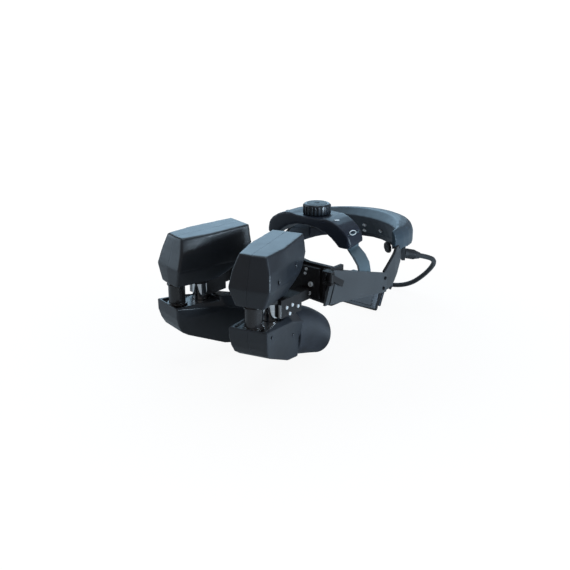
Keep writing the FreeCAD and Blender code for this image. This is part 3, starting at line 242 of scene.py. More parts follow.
@dataclass(frozen=True)
class Plated:
    """Metal with fine turning or brushing lines."""

    name: str
    colour: Colour
    roughness: float = 0.22
    lines: Sequence[float] = (40.0, 40.0, 3000.0)
    depth: float = 0.00001
    metallic: float = 1.0

    def build(self) -> bpy.types.Material:
        """Make the material."""
        shader = Shader(self.name)
        brushed = shader.noise(1.0, 3.0, shader.stretched(self.lines))
        tint = shader.ramp(brushed, shade(self.colour, 0.82), shade(self.colour, 1.08))
        shader.feed(tint, shader.bsdf.inputs["Base Color"])
        shader.feed(shader.span(brushed, self.roughness * 0.7, self.roughness * 1.4),
                    shader.bsdf.inputs["Roughness"])
        shader.bump(brushed, self.depth)
        shader.put(Metallic=self.metallic)
        return shader.material


@dataclass(frozen=True)
class Rubber:
    """Matt elastomer with a powdery grain."""

    name: str
    colour: Colour
    roughness: float = 0.55
    grain: float = 0.00004

    def build(self) -> bpy.types.Material:
        """Make the material."""
        shader = Shader(self.name)
        dust = shader.noise(60.0, 6.0)
        shader.feed(shader.ramp(dust, shade(self.colour, 0.8), shade(self.colour, 1.3)),
                    shader.bsdf.inputs["Base Color"])
        shader.feed(shader.span(dust, self.roughness - 0.08, self.roughness + 0.12),
                    shader.bsdf.inputs["Roughness"])
        shader.bump(shader.noise(1800.0, 3.0), self.grain)
        shader.put(Sheen_Weight=0.08, Sheen_Roughness=0.5)
        return shader.material


@dataclass(frozen=True)
class Woven:
    """Closely woven cover cloth."""

    name: str
    colour: Colour
    thread: float = 0.0006
    depth: float = 0.00014

    def build(self) -> bpy.types.Material:
        """Make the material."""
        shader = Shader(self.name)
        waves = []
        for axis in ("X", "Z"):
            wave = shader.node("ShaderNodeTexWave", bands_direction=axis)
            wave.inputs["Scale"].default_value = 0.314 / self.thread
            wave.inputs["Distortion"].default_value = 0.6
            wave.inputs["Detail Scale"].default_value = 2.0
            shader.feed(shader.place, wave.inputs["Vector"])
            waves.append(wave.outputs["Fac"])
        cloud = shader.noise(45.0, 4.0)
        mixed = shader.math("MULTIPLY", shader.math("MAXIMUM", *waves),
                            shader.span(cloud, 0.75, 1.15))
        shader.feed(shader.ramp(mixed, shade(self.colour, 0.55), shade(self.colour, 1.3),
                                0.1, 0.9),
                    shader.bsdf.inputs["Base Color"])
        shader.bump(mixed, self.depth)
        shader.put(Roughness=0.85, Sheen_Weight=0.25, Sheen_Roughness=0.4)
        return shader.material


@dataclass(frozen=True)
class Coated:
    """Clear optical glass or a front-coated mirror."""

    name: str
    tint: Colour
    clear: float

    def build(self) -> bpy.types.Material:
        """Make the material."""
        shader = Shader(self.name)
        film = shader.noise(30.0, 1.0)
        shader.feed(shader.ramp(film, shade(self.tint, 0.96), self.tint),
                    shader.bsdf.inputs["Base Color"])
        shader.put(Roughness=0.03, IOR=1.5, Transmission_Weight=self.clear,
                   Metallic=0.0 if self.clear else 1.0)
        return shader.material


@dataclass(frozen=True)
class Laminate:
    """Circuit board with a faint grid of tracks."""

    name: str
    colour: Colour

    def build(self) -> bpy.types.Material:
        """Make the material."""
        shader = Shader(self.name)
        brick = shader.node("ShaderNodeTexBrick")
        brick.inputs["Scale"].default_value = 160.0
        brick.inputs["Mortar Size"].default_value = 0.06
        brick.inputs["Color1"].default_value = (*self.colour, 1.0)
        brick.inputs["Color2"].default_value = (*shade(self.colour, 0.8), 1.0)
        brick.inputs["Mortar"].default_value = (*shade(self.colour, 1.9), 1.0)
        shader.feed(shader.place, brick.inputs["Vector"])
        shader.feed(brick.outputs["Color"], shader.bsdf.inputs["Base Color"])
        shader.put(Roughness=0.35)
        return shader.material


# edge_wear_and_highlight lightens convex edges: edge wear and painted edge highlight.
FINISHES = {
    Slot.POD: Moulding("pod_shell", (0.028, 0.033, 0.041), 0.33, coat=0.15, edge_wear_and_highlight=0.6),
    Slot.BAND: Moulding("band_grey", (0.052, 0.056, 0.061), 0.34, edge_wear_and_highlight=0.9),
    Slot.HOOD: Moulding("hood_grey", (0.046, 0.070, 0.092), 0.36),
    Slot.CROWN: Moulding("crown_soft", (0.014, 0.020, 0.034), 0.44, coat=0.1, edge_wear_and_highlight=0.2),
    Slot.BRACKET: Moulding("bracket_black", (0.008, 0.0065, 0.007), 0.55, edge_wear_and_highlight=0.8),
    Slot.COLUMN: Moulding("column_dark", (0.020, 0.018, 0.019), 0.26, coat=0.5),
    Slot.BARREL: Plated("barrel_chrome", (0.84, 0.85, 0.86), 0.10),
    Slot.SCREW: Plated("screw_steel", (0.88, 0.90, 0.91), 0.30, (2500.0, 2500.0, 2500.0),
                       metallic=0.15),
    Slot.DARK_SCREW: Plated("screw_black", (0.012, 0.012, 0.014), 0.35,
                            (2500.0, 2500.0, 2500.0)),
    Slot.EYECUP: Rubber("eyecup_rubber", (0.022, 0.025, 0.033)),
    Slot.CABLE: Rubber("cable_rubber", (0.018, 0.020, 0.024)),
    Slot.PAD: Woven("pad_fabric", (0.012, 0.012, 0.015)),
    # lighter face cloth of the nape pad, its colour raised further as painted light for a face
    # in shadow
    Slot.NAPE: Woven("nape_fabric", (0.220, 0.245, 0.280)),
    Slot.STRAP: Moulding("strap_grey", (0.100, 0.140, 0.165), 0.34, edge_wear_and_highlight=0.4),
    Slot.GLASS: Coated("optic_glass", (0.90, 0.95, 0.97), 1.0),
    Slot.MIRROR: Coated("mirror_coat", (0.90, 0.90, 0.92), 0.0),
    Slot.EYEPIECE: Moulding("barrel_black", (0.010, 0.010, 0.012), 0.34),
    Slot.BOARD: Laminate("board", (0.015, 0.085, 0.045)),
    Slot.WEIGHT: Plated("weight_steel", (0.34, 0.34, 0.36), 0.4, (700.0, 30.0, 700.0)),
    Slot.KNOB: Moulding("knob_black", (0.014, 0.019, 0.026), 0.34, coat=0.25),
}
EXTRA = {
    "cap_disc": Moulding("cap_disc", (0.022, 0.034, 0.043), 0.46),
    # light plastic for the crown's inlays, also the white strip painted as a highlight on the
    # clamp block
    "inlay_and_highlight_white": Moulding("inlay_and_highlight_white", (0.86, 0.90, 0.92), 0.30, edge_wear_and_highlight=0.1),
    # dark navy painted shade for faces turned to the head
    "inward_painted_shade": Moulding("inward_painted_shade", (0.030, 0.040, 0.054), 0.5, edge_wear_and_highlight=0.1),
    "edging": Rubber("edging", (0.002, 0.002, 0.003), 0.85),
    "thread": Moulding("thread", (0.012, 0.012, 0.014), 0.7),
}
_made: dict[str, bpy.types.Material] = {}


def paint(key: "Slot | str") -> bpy.types.Material:
    """The material of a slot or of a small extra finish, made once."""
    name = key.value if isinstance(key, Slot) else key
    if name not in _made:
        source = FINISHES[key] if isinstance(key, Slot) else EXTRA[key]
        _made[name] = source.build()
    return _made[name]


# ---------------- mesh help


def link(name: str, data: bpy.types.ID) -> bpy.types.Object:
    """Put a mesh, curve, lamp or camera in the scene as an object at the origin."""
    made = bpy.data.objects.new(name, data)
    bpy.context.scene.collection.objects.link(made)
    return made


def smooth(mesh: bpy.types.Mesh) -> None:
    """Shade every face of a mesh smooth."""
    mesh.polygons.foreach_set("use_smooth", [True] * len(mesh.polygons))


def mesh_of(item: bpy.types.Object) -> bpy.types.Mesh:
    """A new mesh of an object as its modifiers or its curve settings leave it."""
    depsgraph = bpy.context.evaluated_depsgraph_get()
    depsgraph.update()
    return bpy.data.meshes.new_from_object(item.evaluated_get(depsgraph))


def settled(item: bpy.types.Object) -> None:
    """Turn an object's modifiers into its mesh and remove them."""
    mesh = mesh_of(item)
    item.modifiers.clear()
    item.data = mesh


def written(work: bmesh.types.BMesh, name: str) -> bpy.types.Mesh:
    """Write a bmesh to a new mesh and free it."""
    mesh = bpy.data.meshes.new(name)
    work.to_mesh(mesh)
    work.free()
    return mesh


def joined(nodes: Sequence[str], name: str) -> bpy.types.Object:
    """CAD nodes copied into one object, with their loose triangles joined."""
    work = bmesh.new()
    for node in nodes:
        work.from_mesh(NODES[node].data)
    bmesh.ops.remove_doubles(work, verts=work.verts, dist=WELD)
    return link(name, written(work, name))


def softened(item: bpy.types.Object, voxel: float, passes: int) -> None:
    """Rebuild an object's surface on a grid, then round its edges.

    Args:
        item: a closed mesh object.
        voxel: grid of the rebuilt surface, in millimetres.
        passes: smoothing passes, which set the radius of the edges.
    """
    remesh = item.modifiers.new("Remesh", "REMESH")
    remesh.mode = "VOXEL"
    remesh.voxel_size = voxel * MM
    soften = item.modifiers.new("Smooth", "SMOOTH")
    soften.factor = 0.5
    soften.iterations = passes
    settled(item)


def rounded_box(size: Sequence[float], edge: float, name: str,
              profile: float = 0.0) -> bpy.types.Mesh:
    """A box about the origin with rounded edges, sizes in millimetres."""
    work = bmesh.new()
    bmesh.ops.create_cube(work, size=1.0)
    bmesh.ops.scale(work, vec=Vector(size) * MM, verts=work.verts)
    bmesh.ops.bevel(work, geom=work.edges[:], offset=edge * MM, segments=2, profile=profile,
                    affect="EDGES")
    return written(work, name)


def mirrored(points: Sequence[Sequence[float]], side: int) -> list[Vector]:
    """Points of the design moved to the row frame, on the +1 or the -1 side."""
    return [Vector((x * side, y + SHIFT_Y, z)) for x, y, z in points]


def round_angles(count: int) -> list[float]:
    """Angles once round a circle, the first repeated at the end."""
    return [math.tau * i / count for i in range(count + 1)]


def dress(item: bpy.types.Object, material: bpy.types.Material) -> None:
    """Give an object one material."""
    item.data.materials.clear()
    item.data.materials.append(material)


def stand_for(item: bpy.types.Object, node: str) -> None:
    """Let a finished piece replace a CAD node on the node's own body."""
    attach(item, NODES[node]["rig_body"])
    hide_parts(node)


def trim(item: bpy.types.Object, finish: "Slot | str", body: str) -> None:
    """Finish a small extra piece and let it ride on a body."""
    dress(item, paint(finish))
    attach(item, body)


def moulded(node: str, slot: Slot, voxel: float, passes: int) -> bpy.types.Object:
    """A CAD node with its edges rounded as a mould leaves them.

    Args:
        node: CAD node that it stands for.
        slot: material slot.
        voxel: grid of the rebuilt surface, in millimetres.
        passes: smoothing passes.

    Returns:
        The finished piece.
    """
    item = joined([node], node + "_moulded")
    softened(item, voxel, passes)
    smooth(item.data)
    dress(item, paint(slot))
    stand_for(item, node)
    log.info("moulded %s, %d faces", item.name, len(item.data.polygons))
    return item


@dataclass(frozen=True)
class Seam:
    """The upright plane at which two moulded halves meet."""

    point: Vector
    normal: Vector
    gap: float = 0.24
    chamfer: float = 0.45
    crease: float = 32.0

    def half(self, whole: bpy.types.Mesh, name: str, sign: int) -> bpy.types.Object:
        """Cut off the half on the normal's side (+1) or the other (-1), its rim chamfered."""
        work = bmesh.new()
        work.from_mesh(whole)
        away = self.normal * sign
        bmesh.ops.bisect_plane(work, geom=work.verts[:] + work.edges[:] + work.faces[:],
                               plane_co=self.point + away * (self.gap / 2 * MM),
                               plane_no=away, clear_inner=True)
        rim = [edge for edge in work.edges if edge.is_boundary]
        bmesh.ops.triangle_fill(work, edges=rim, use_beauty=True, normal=-away)
        bmesh.ops.bevel(work, geom=rim, offset=self.chamfer * MM, segments=1, profile=0.5,
                        affect="EDGES", clamp_overlap=True)
        bmesh.ops.recalc_face_normals(work, faces=work.faces)
        for edge in work.edges:
            edge.smooth = edge.calc_face_angle(0.0) < math.radians(self.crease)
        mesh = written(work, name)
        smooth(mesh)
        return link(name, mesh)


def moulded_pair(nodes: Sequence[str], seam: Seam, slot: Slot, voxel: float,
                 passes: int) -> None:
    """Two half shells rounded together, then parted again at their seam.

    Args:
        nodes: CAD nodes of the half on the seam's normal side and of the other half.
        seam: their parting plane.
        slot: material slot.
        voxel: grid of the rebuilt surface, in millimetres.
        passes: smoothing passes.
    """
    whole = joined(nodes, "housing")
    softened(whole, voxel, passes)
    for node, sign in zip(nodes, (1, -1)):
        item = seam.half(whole.data, node + "_moulded", sign)
        dress(item, paint(slot))
        stand_for(item, node)
        log.info("moulded %s, %d faces", item.name, len(item.data.polygons))
    bpy.data.objects.remove(whole)


def eased(node: str, slot: Slot, width: float) -> None:
    """Keep a CAD node, break its edges and give it its finish.

    Args:
        node: CAD node.
        slot: material slot.
        width: width of the broken edges, in millimetres.
    """
    item = NODES[node]
    dress(item, paint(slot))
    smooth(item.data)
    item.modifiers.new("Weld", "WELD").merge_threshold = WELD
    bevel = item.modifiers.new("Bevel", "BEVEL")
    bevel.width = width * MM
    bevel.segments = 2
    bevel.limit_method = "ANGLE"
    bevel.angle_limit = math.radians(30)
    bevel.use_clamp_overlap = True
    item.modifiers.new("Weighted", "WEIGHTED_NORMAL").weight = 80


def lathe(profile: Sequence[tuple[float, float]], name: str, steps: int = 72) -> bpy.types.Mesh:
    """Turn a (radius, height) outline in millimetres about Z.

    Args:
        profile: outline from bottom to top.
        name: mesh name.
        steps: facets round the axis.

    Returns:
        The mesh, in metres.
    """
    work = bmesh.new()
    points = [work.verts.new((r * MM, 0.0, z * MM)) for r, z in profile]
    edges = [work.edges.new(pair) for pair in zip(points, points[1:])]
    bmesh.ops.spin(work, geom=points + edges, cent=(0, 0, 0), axis=(0, 0, 1),
                   angle=math.tau, steps=steps, use_merge=True)
    bmesh.ops.remove_doubles(work, verts=work.verts, dist=WELD / 2)
    bmesh.ops.recalc_face_normals(work, faces=work.faces)
    return written(work, name)


@dataclass
class Spline:
    """A smooth curve through control points in millimetres."""

    name: str
    points: Sequence[Sequence[float]]
    resolution: int = 8

    def mesh(self, radius: float = 0.0, bevel: int = 4) -> bpy.types.Mesh:
        """The curve as a plain line, or as a round rod.

        Args:
            radius: radius of the rod in millimetres, or 0 for the line.
            bevel: fineness of the rod's outline.

        Returns:
            The mesh, in metres, its points in order along the curve.
        """
        curve = bpy.data.curves.new(self.name, "CURVE")
        curve.dimensions = "3D"
        spline = curve.splines.new("NURBS")
        spline.points.add(len(self.points) - 1)
        for target, place in zip(spline.points, self.points):
            target.co = (*[part * MM for part in place], 1.0)
        spline.order_u = 3
        spline.use_endpoint_u = True
        curve.resolution_u = self.resolution
        curve.use_fill_caps = True
        curve.bevel_depth = radius * MM
        curve.bevel_resolution = bevel
        holder = link(self.name, curve)
        made = mesh_of(holder)
        bpy.data.objects.remove(holder)
        return made

    def rod(self, radius: float, bevel: int = 4) -> bpy.types.Object:
        """The curve as a round rod, shaded smooth."""
        mesh = self.mesh(radius, bevel)
        smooth(mesh)
        return link(self.name, mesh)


# ---------------- repeated details


class Repeat(Nodes):
    """A node tree that repeats a small mesh round a ring, on a line or along a path."""

    def __init__(self, name: str) -> None:
        """Start a geometry node tree of this name."""
        super().__init__(bpy.data.node_groups.new(name, "GeometryNodeTree"))
        for way in ("INPUT", "OUTPUT"):
            self.tree.interface.new_socket("Geometry", in_out=way,
                                           socket_type="NodeSocketGeometry")
        self.entry = self.tree.nodes.new("NodeGroupInput")
        self.exit = self.tree.nodes.new("NodeGroupOutput")
        self.geometry = self.entry.outputs["Geometry"]

    def size(self, name: str, kind: str = "Float") -> bpy.types.NodeSocket:
        """Add a named input."""
        self.tree.interface.new_socket(name, in_out="INPUT", socket_type="NodeSocket" + kind)
        return self.entry.outputs[name]

    def along_z(self, value: bpy.types.NodeSocket) -> bpy.types.NodeSocket:
        """A vector with a value as its Z."""
        made = self.node("ShaderNodeCombineXYZ")
        self.feed(value, made.inputs["Z"])
        return made.outputs["Vector"]

    def close(self, material: bpy.types.Material, **sources: bpy.types.NodeSocket) -> None:
        """End the tree in real copies of a unit with their material.

        Args:
            material: material of the copies.
            sources: what feeds Points, Instance and perhaps Rotation.
        """
        place = self.node("GeometryNodeInstanceOnPoints")
        for key, source in sources.items():
            self.feed(source, place.inputs[key])
        real = self.node("GeometryNodeRealizeInstances")
        painted = self.node("GeometryNodeSetMaterial")
        painted.inputs["Material"].default_value = material
        self.feed(place.outputs["Instances"], real.inputs["Geometry"])
        self.feed(real.outputs["Geometry"], painted.inputs["Geometry"])
        self.feed(painted.outputs["Geometry"], self.exit.inputs["Geometry"])

    def run(self, name: str, unit: bpy.types.Mesh, values: dict[str, float]) -> bpy.types.Object:
        """Evaluate the tree on a unit mesh.

        Args:
            name: name of the piece.
            unit: the mesh that is repeated.
            values: inputs by name.

        Returns:
            A plain mesh object.
        """
        item = link(name, unit)
        modifier = item.modifiers.new("Repeat", "NODES")
        modifier.node_group = self.tree
        keys = {entry.name: entry.identifier for entry in self.tree.interface.items_tree
                if entry.in_out == "INPUT"}
        for key, value in values.items():
            modifier[keys[key]] = value
        settled(item)
        smooth(item.data)
        return item


def ring_tree(material: bpy.types.Material) -> Repeat:
    """Repeat the unit mesh round Z at a radius and height, facing outwards."""
    made = Repeat("ring_of_ribs")
    count = made.size("Count", "Int")
    circle = made.node("GeometryNodeMeshCircle")
    made.feed(count, circle.inputs["Vertices"])
    made.feed(made.size("Radius"), circle.inputs["Radius"])
    lift = made.node("GeometryNodeSetPosition")
    made.feed(circle.outputs["Mesh"], lift.inputs["Geometry"])
    made.feed(made.along_z(made.size("Height")), lift.inputs["Offset"])
    index = made.node("GeometryNodeInputIndex").outputs["Index"]
    angle = made.math("MULTIPLY", index, made.math("DIVIDE", math.tau, count))
    made.close(material, Points=lift.outputs["Geometry"], Instance=made.geometry,
               Rotation=made.along_z(angle))
    return made


def line_tree(material: bpy.types.Material) -> Repeat:
    """Repeat the unit mesh along Z at a pitch."""
    made = Repeat("line_of_ribs")
    line = made.node("GeometryNodeMeshLine")
    made.feed(made.size("Count", "Int"), line.inputs["Count"])
    made.feed(made.along_z(made.size("Start")), line.inputs["Start Location"])
    made.feed(made.along_z(made.size("Pitch")), line.inputs["Offset"])
    made.close(material, Points=line.outputs["Mesh"], Instance=made.geometry)
    return made


def stitch_tree(material: bpy.types.Material) -> Repeat:
    """Lay short threads along the edges of the incoming path."""
    made = Repeat("row_of_stitches")
    path = made.node("GeometryNodeMeshToCurve")
    made.feed(made.geometry, path.inputs["Mesh"])
    spaced = made.node("GeometryNodeResampleCurve", mode="LENGTH")
    made.feed(path.outputs["Curve"], spaced.inputs["Curve"])
    made.feed(made.size("Pitch"), spaced.inputs["Length"])
    thread = made.node("GeometryNodeMeshCylinder")
    thread.inputs["Vertices"].default_value = 6
    made.feed(made.size("Thickness"), thread.inputs["Radius"])
    made.feed(made.size("Length"), thread.inputs["Depth"])
    aim = made.node("FunctionNodeAlignRotationToVector", axis="Z")
    made.feed(made.node("GeometryNodeInputTangent").outputs["Tangent"], aim.inputs["Vector"])
    made.close(material, Points=spaced.outputs["Curve"], Instance=thread.outputs["Mesh"],
               Rotation=aim.outputs["Rotation"])
    return made


# ---------------- pods


@dataclass
class Pod:
    """One optical pod: shells, column, barrel, eyepiece and eyecup."""

    word: str
    side: int
    axis: Sequence[float] = (52.5, -153.5)  # of the front column
    turn: float = 14.5  # outwards, in degrees
    voxel: float = 0.8
    # size and place of the white strip painted as the clamp block's edge highlight
    highlight_strip_size: Sequence[float] = (3.0, 0.5, 13.6)
    highlight_strip_place: Sequence[float] = (61.65, -124.82, 76.4)
    lip_centre: Sequence[float] = (0.5, 73.0, 34.0)  # outwards, back and up from the axis
    lip_radii: Sequence[float] = (17.2, 25.0)
    lip_thick: float = 1.7

    def seam(self, parting: float) -> Seam:
        """The parting plane at a distance outwards from the column's axis."""
        turn = Matrix.Rotation(math.radians(self.turn) * self.side, 3, "Z")
        out = turn @ Vector((self.side, 0.0, 0.0))
        place = Vector((self.axis[0] * self.side, self.axis[1] + SHIFT_Y, 0.0))
        return Seam((place + out * parting) * MM, out)

    def painted_clamp_highlight(self) -> None:
        """White strip painted as the highlight on the polished edge of the clamp block beside
        the barrel.
        """
        mesh = rounded_box(self.highlight_strip_size, 0.15, "painted_clamp_highlight")
        x, y, z = self.highlight_strip_place
        mesh.transform(Matrix.Translation(Vector((x * self.side, y + SHIFT_Y, z)) * MM))
        item = link(f"painted_clamp_highlight_{self.word}", mesh)
        trim(item, "inlay_and_highlight_white", f"carriage_{self.word}")

    def lip(self) -> None:
        """Rubber bead where the eyecup meets the lower shells."""
        yaw = math.radians(self.turn)
        out, back, up = self.lip_centre
        points = []
        for angle in round_angles(48):
            across = out + self.lip_radii[0] * math.cos(angle)
            x = self.axis[0] + across * math.cos(yaw) - back * math.sin(yaw)
            y = self.axis[1] + SHIFT_Y + across * math.sin(yaw) + back * math.cos(yaw)
            points.append((x * self.side, y, up + self.lip_radii[1] * math.sin(angle)))
        item = Spline(f"eyecup_lip_{self.word}", points).rod(self.lip_thick)
        trim(item, Slot.EYECUP, f"pod_{self.word}")

    def build(self) -> None:
        """Dress every piece of the pod."""
        for level, parting, passes in (("upper", -1.5, 26), ("lower", 0.0, 7)):
            moulded_pair([f"{level}_shell_{half}_{self.word}" for half in ("outer", "inner")],
                         self.seam(parting), Slot.POD, self.voxel, passes)
        self.lip()
        # white strip as painted highlight on the clamp block
        self.painted_clamp_highlight()
        for stem, slot, width in (
                ("eyecup", Slot.EYECUP, 0.5), ("front_column", Slot.COLUMN, 0.5),
                ("relay_barrel", Slot.BARREL, 0.4), ("relay_lenses", Slot.GLASS, 0.1),
                ("display_module", Slot.BOARD, 0.15), ("fold_mirror", Slot.MIRROR, 0.1),
                ("eyepiece_barrel", Slot.EYEPIECE, 0.3), ("eyepiece_lens", Slot.GLASS, 0.1),
                ("pod_screws", Slot.DARK_SCREW, 0.12)):
            eased(f"{stem}_{self.word}", slot, width)
        log.info("pod %s done", self.word)


def front_frame() -> None:
    """Dress the brow frame, carriages, clips and levers."""
    eased("brow_frame", Slot.BRACKET, 0.5)
    for word, _ in SIDES:
        for stem, slot, width in (
                ("carriage", Slot.BRACKET, 0.5), ("slide_clamp", Slot.BRACKET, 0.3),
                ("carriage_screws", Slot.SCREW, 0.15), ("frame_clip", Slot.BAND, 0.4),
                ("thumb_lever", Slot.BRACKET, 0.3)):
            eased(f"{stem}_{word}", slot, width)
    log.info("front frame done")


# ---------------- headband


@dataclass
class Headband:
    """Side bands, rear band, straps and the dark edging of the rear band."""

    trim_radius: float = 1.5
    top_edge: Sequence[Sequence[float]] = (
        (78.4, 33.2, 80.6), (78.2, 38.0, 83.8), (77.7, 44.0, 87.5), (76.3, 56.0, 95.0),
        (75.9, 58.5, 97.2), (74.2, 64.0, 101.3), (72.8, 70.0, 101.8), (70.8, 77.0, 101.7))

    def edging(self, word: str, side: int) -> None:
        """Black beading along the top edge of the rear band, on the +1 or the -1 side."""
        item = Spline(f"band_edging_{word}", mirrored(self.top_edge, side)).rod(self.trim_radius)
        trim(item, "edging", "headband")

    def build(self) -> None:
        """Dress the band and make its edging."""
        for word, side in SIDES:
            eased(f"side_band_{word}", Slot.BAND, 0.7)
            eased(f"crown_strap_{word}", Slot.STRAP, 0.5)
            self.edging(word, side)
        eased("rear_band", Slot.BAND, 0.5)
        # the band's inward faces get painted shade
        paint_inward_shade(NODES["rear_band"], 0.6)
        eased("band_rivets", Slot.DARK_SCREW, 0.2)
        eased("rear_panel", Slot.CROWN, 0.3)
        moulded("nape_yoke", Slot.CROWN, 0.7, 6)
        log.info("headband done")


@dataclass
class Crown:
    """Soft crown saddle with its inlays."""

    rise: float = 0.35
    foot: Vector = Vector((53.2, 8.0, 125.8))
    out: Vector = Vector((0.80, 0.0, 0.60))
    oval_radii: Sequence[float] = (5.6, 2.4)
    vent: Sequence[Sequence[float]] = ((33.4, 1.0, 137.85), (34.3, 4.0, 137.55),
                                       (35.5, 7.0, 137.05))

    def oval(self, word: str, side: int) -> None:
        """Oval bezel round the strap slot in a foot."""
        along = Vector((0.0, self.oval_radii[0], 0.0))
        across = self.out.cross(Vector((0.0, self.oval_radii[1], 0.0)))
        points = [self.foot + along * math.cos(angle) + across * math.sin(angle)
                  + self.out * self.rise for angle in round_angles(24)]
        item = Spline(f"slot_bezel_{word}", mirrored(points, side)).rod(0.45)
        trim(item, "inlay_and_highlight_white", "crown")

    def slit(self, word: str, side: int) -> None:
        """Light vent mark beside the knob."""
        item = Spline(f"vent_mark_{word}", mirrored(self.vent, side)).rod(0.7)
        trim(item, "inlay_and_highlight_white", "crown")

    def build(self) -> None:
        """Dress the saddle and add its inlays."""
        moulded("crown_pad", Slot.CROWN, 0.9, 22)
        for word, side in SIDES:
            self.oval(word, side)
            self.slit(word, side)
        log.info("crown done")


@dataclass
class TopKnob:
    """Ribbed knob with a light disc let into its top."""

    ribs: int = 24

    def build(self) -> None:
        """Turn the knob, then set its ribs and its disc."""
        low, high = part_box("crown_knob")
        radius = (high.x - low.x) / 2 / MM
        base, top = low.z / MM, high.z / MM
        centre = Vector(((low.x + high.x) / 2, (low.y + high.y) / 2, 0.0))
        core = radius - 0.9
        profile = [(0.0, base), (core - 1.2, base), (core, base + 0.8), (core, top - 2.2),
                   (core - 0.5, top - 1.0), (core - 1.8, top - 0.35), (core - 3.4, top - 0.3),
                   (core - 3.9, top - 0.7), (0.0, top - 0.7)]
        mesh = lathe(profile, "crown_knob_body")
        body = link("crown_knob_body", mesh)
        smooth(mesh)
        bevel = body.modifiers.new("Bevel", "BEVEL")
        bevel.width = 0.25 * MM
        bevel.segments = 2
        bevel.limit_method = "ANGLE"
        settled(body)
        body.data.transform(Matrix.Translation(centre))
        dress(body, paint(Slot.KNOB))
        stand_for(body, "crown_knob")
        self.rib_ring(core, base, top, centre)
        self.disc(core - 4.0, top, centre)
        eased("knob_spindle", Slot.EYEPIECE, 0.2)
        log.info("knob done")

    def rib_ring(self, core: float, base: float, top: float, centre: Vector) -> None:
        """Upright ribs round the knob's core, sizes in millimetres, centre in metres."""
        unit = rounded_box((1.7, 2.1, top - base - 2.6), 0.5, "knob_rib", 0.6)
        item = ring_tree(paint(Slot.KNOB)).run(
            "crown_knob_ribs", unit,
            {"Count": self.ribs, "Radius": core * MM, "Height": (base + top - 1.4) / 2 * MM})
        item.data.transform(Matrix.Translation(centre))
        trim(item, Slot.KNOB, "knob")

    def disc(self, radius: float, top: float, centre: Vector) -> None:
        """Light disc in the knob's top, with a small centre boss."""
        profile = [(0.0, top - 0.8), (radius, top - 0.8), (radius, top - 0.35),
                   (radius - 0.4, top - 0.15), (3.2, top - 0.15), (3.0, top - 0.5),
                   (1.4, top - 0.5), (1.2, top - 0.1), (0.0, top - 0.1)]
        mesh = lathe(profile, "crown_knob_disc")
        mesh.transform(Matrix.Translation(centre))
        smooth(mesh)
        item = link("crown_knob_disc", mesh)
        item.modifiers.new("Weighted", "WEIGHTED_NORMAL").weight = 80
        trim(item, "cap_disc", "knob")


def paint_inward_shade(item: bpy.types.Object, least: float) -> None:
    """Paint shade on the faces that look at the wearer's head, where the piece shades itself.

    Args:
        item: a piece that goes round the head.
        least: least agreement of a face with the direction of the head.
    """
    item.data.materials.append(paint("inward_painted_shade"))
    # faces turned to the head take the painted shade
    for face in item.data.polygons:
        inward = Vector((-face.center.x, HEAD_Y - face.center.y, 0.0)).normalized()
        face.material_index = int(face.normal.dot(inward) > least)


def rear_hood() -> None:
    """Dress the rear housing and what it carries."""
    # the hood's inward faces get painted shade
    paint_inward_shade(moulded("rear_housing", Slot.HOOD, 1.0, 14), 0.75)
    for node, slot, width in (("rear_floor", Slot.HOOD, 0.3), ("rear_screws", Slot.SCREW, 0.15),
                              ("interface_board", Slot.BOARD, 0.1),
                              ("counterweight", Slot.WEIGHT, 0.4)):
        eased(node, slot, width)
    log.info("rear hood done")


# ---------------- soft goods


@dataclass
class Cushion:
    """A padded piece, swollen by cloth simulation inside its CAD space."""

    node: str
    slot: Slot
    voxel: float
    swell: float
    pressure: float = 4.0
    # slot of a lighter face cloth, brightened in part as painted light
    face_cloth_with_painted_light: Optional[Slot] = None
    facing: Sequence[float] = (0.0, -1.0, 0.0)
    steps: int = 20
    least: float = 0.72  # least agreement of a face with the facing

    def swollen(self, item: bpy.types.Object) -> None:
        """Blow the cushion up, no point moving further than the swell."""
        start = [vertex.co.copy() for vertex in item.data.vertices]
        cloth = item.modifiers.new("Cloth", "CLOTH")
        cloth.settings.quality = 5
        cloth.settings.mass = 0.2
        cloth.settings.use_pressure = True
        cloth.settings.uniform_pressure_force = self.pressure
        cloth.settings.effector_weights.gravity = 0.0
        cloth.point_cache.frame_start = 1
        cloth.point_cache.frame_end = self.steps
        for number in range(1, self.steps + 1):
            bpy.context.scene.frame_set(number)
        settled(item)
        bpy.context.scene.frame_set(1)
        for vertex, before in zip(item.data.vertices, start):
            move = vertex.co - before
            if move.length > self.swell * MM:
                vertex.co = before + move.normalized() * (self.swell * MM)

    def build(self) -> bpy.types.Object:
        """Make the cushion and return it."""
        item = joined([self.node], self.node + "_cushion")
        softened(item, self.voxel, 9)
        pulled = item.modifiers.new("Shrink", "DISPLACE")
        pulled.mid_level = 0.0
        pulled.strength = -0.6 * self.swell * MM
        settled(item)
        self.swollen(item)
        divide = item.modifiers.new("Subdivision", "SUBSURF")
        divide.levels = divide.render_levels = 1
        settled(item)
        smooth(item.data)
        dress(item, paint(self.slot))
        # Faces turned to the facing take the face cloth, lighter partly as painted light.
        if self.face_cloth_with_painted_light is not None:
            item.data.materials.append(paint(self.face_cloth_with_painted_light))
            aim = Vector(self.facing).normalized()
            for face in item.data.polygons:
                face.material_index = int(face.normal.dot(aim) > self.least)
        stand_for(item, self.node)
        log.info("cushion %s, %d faces", item.name, len(item.data.polygons))
        return item


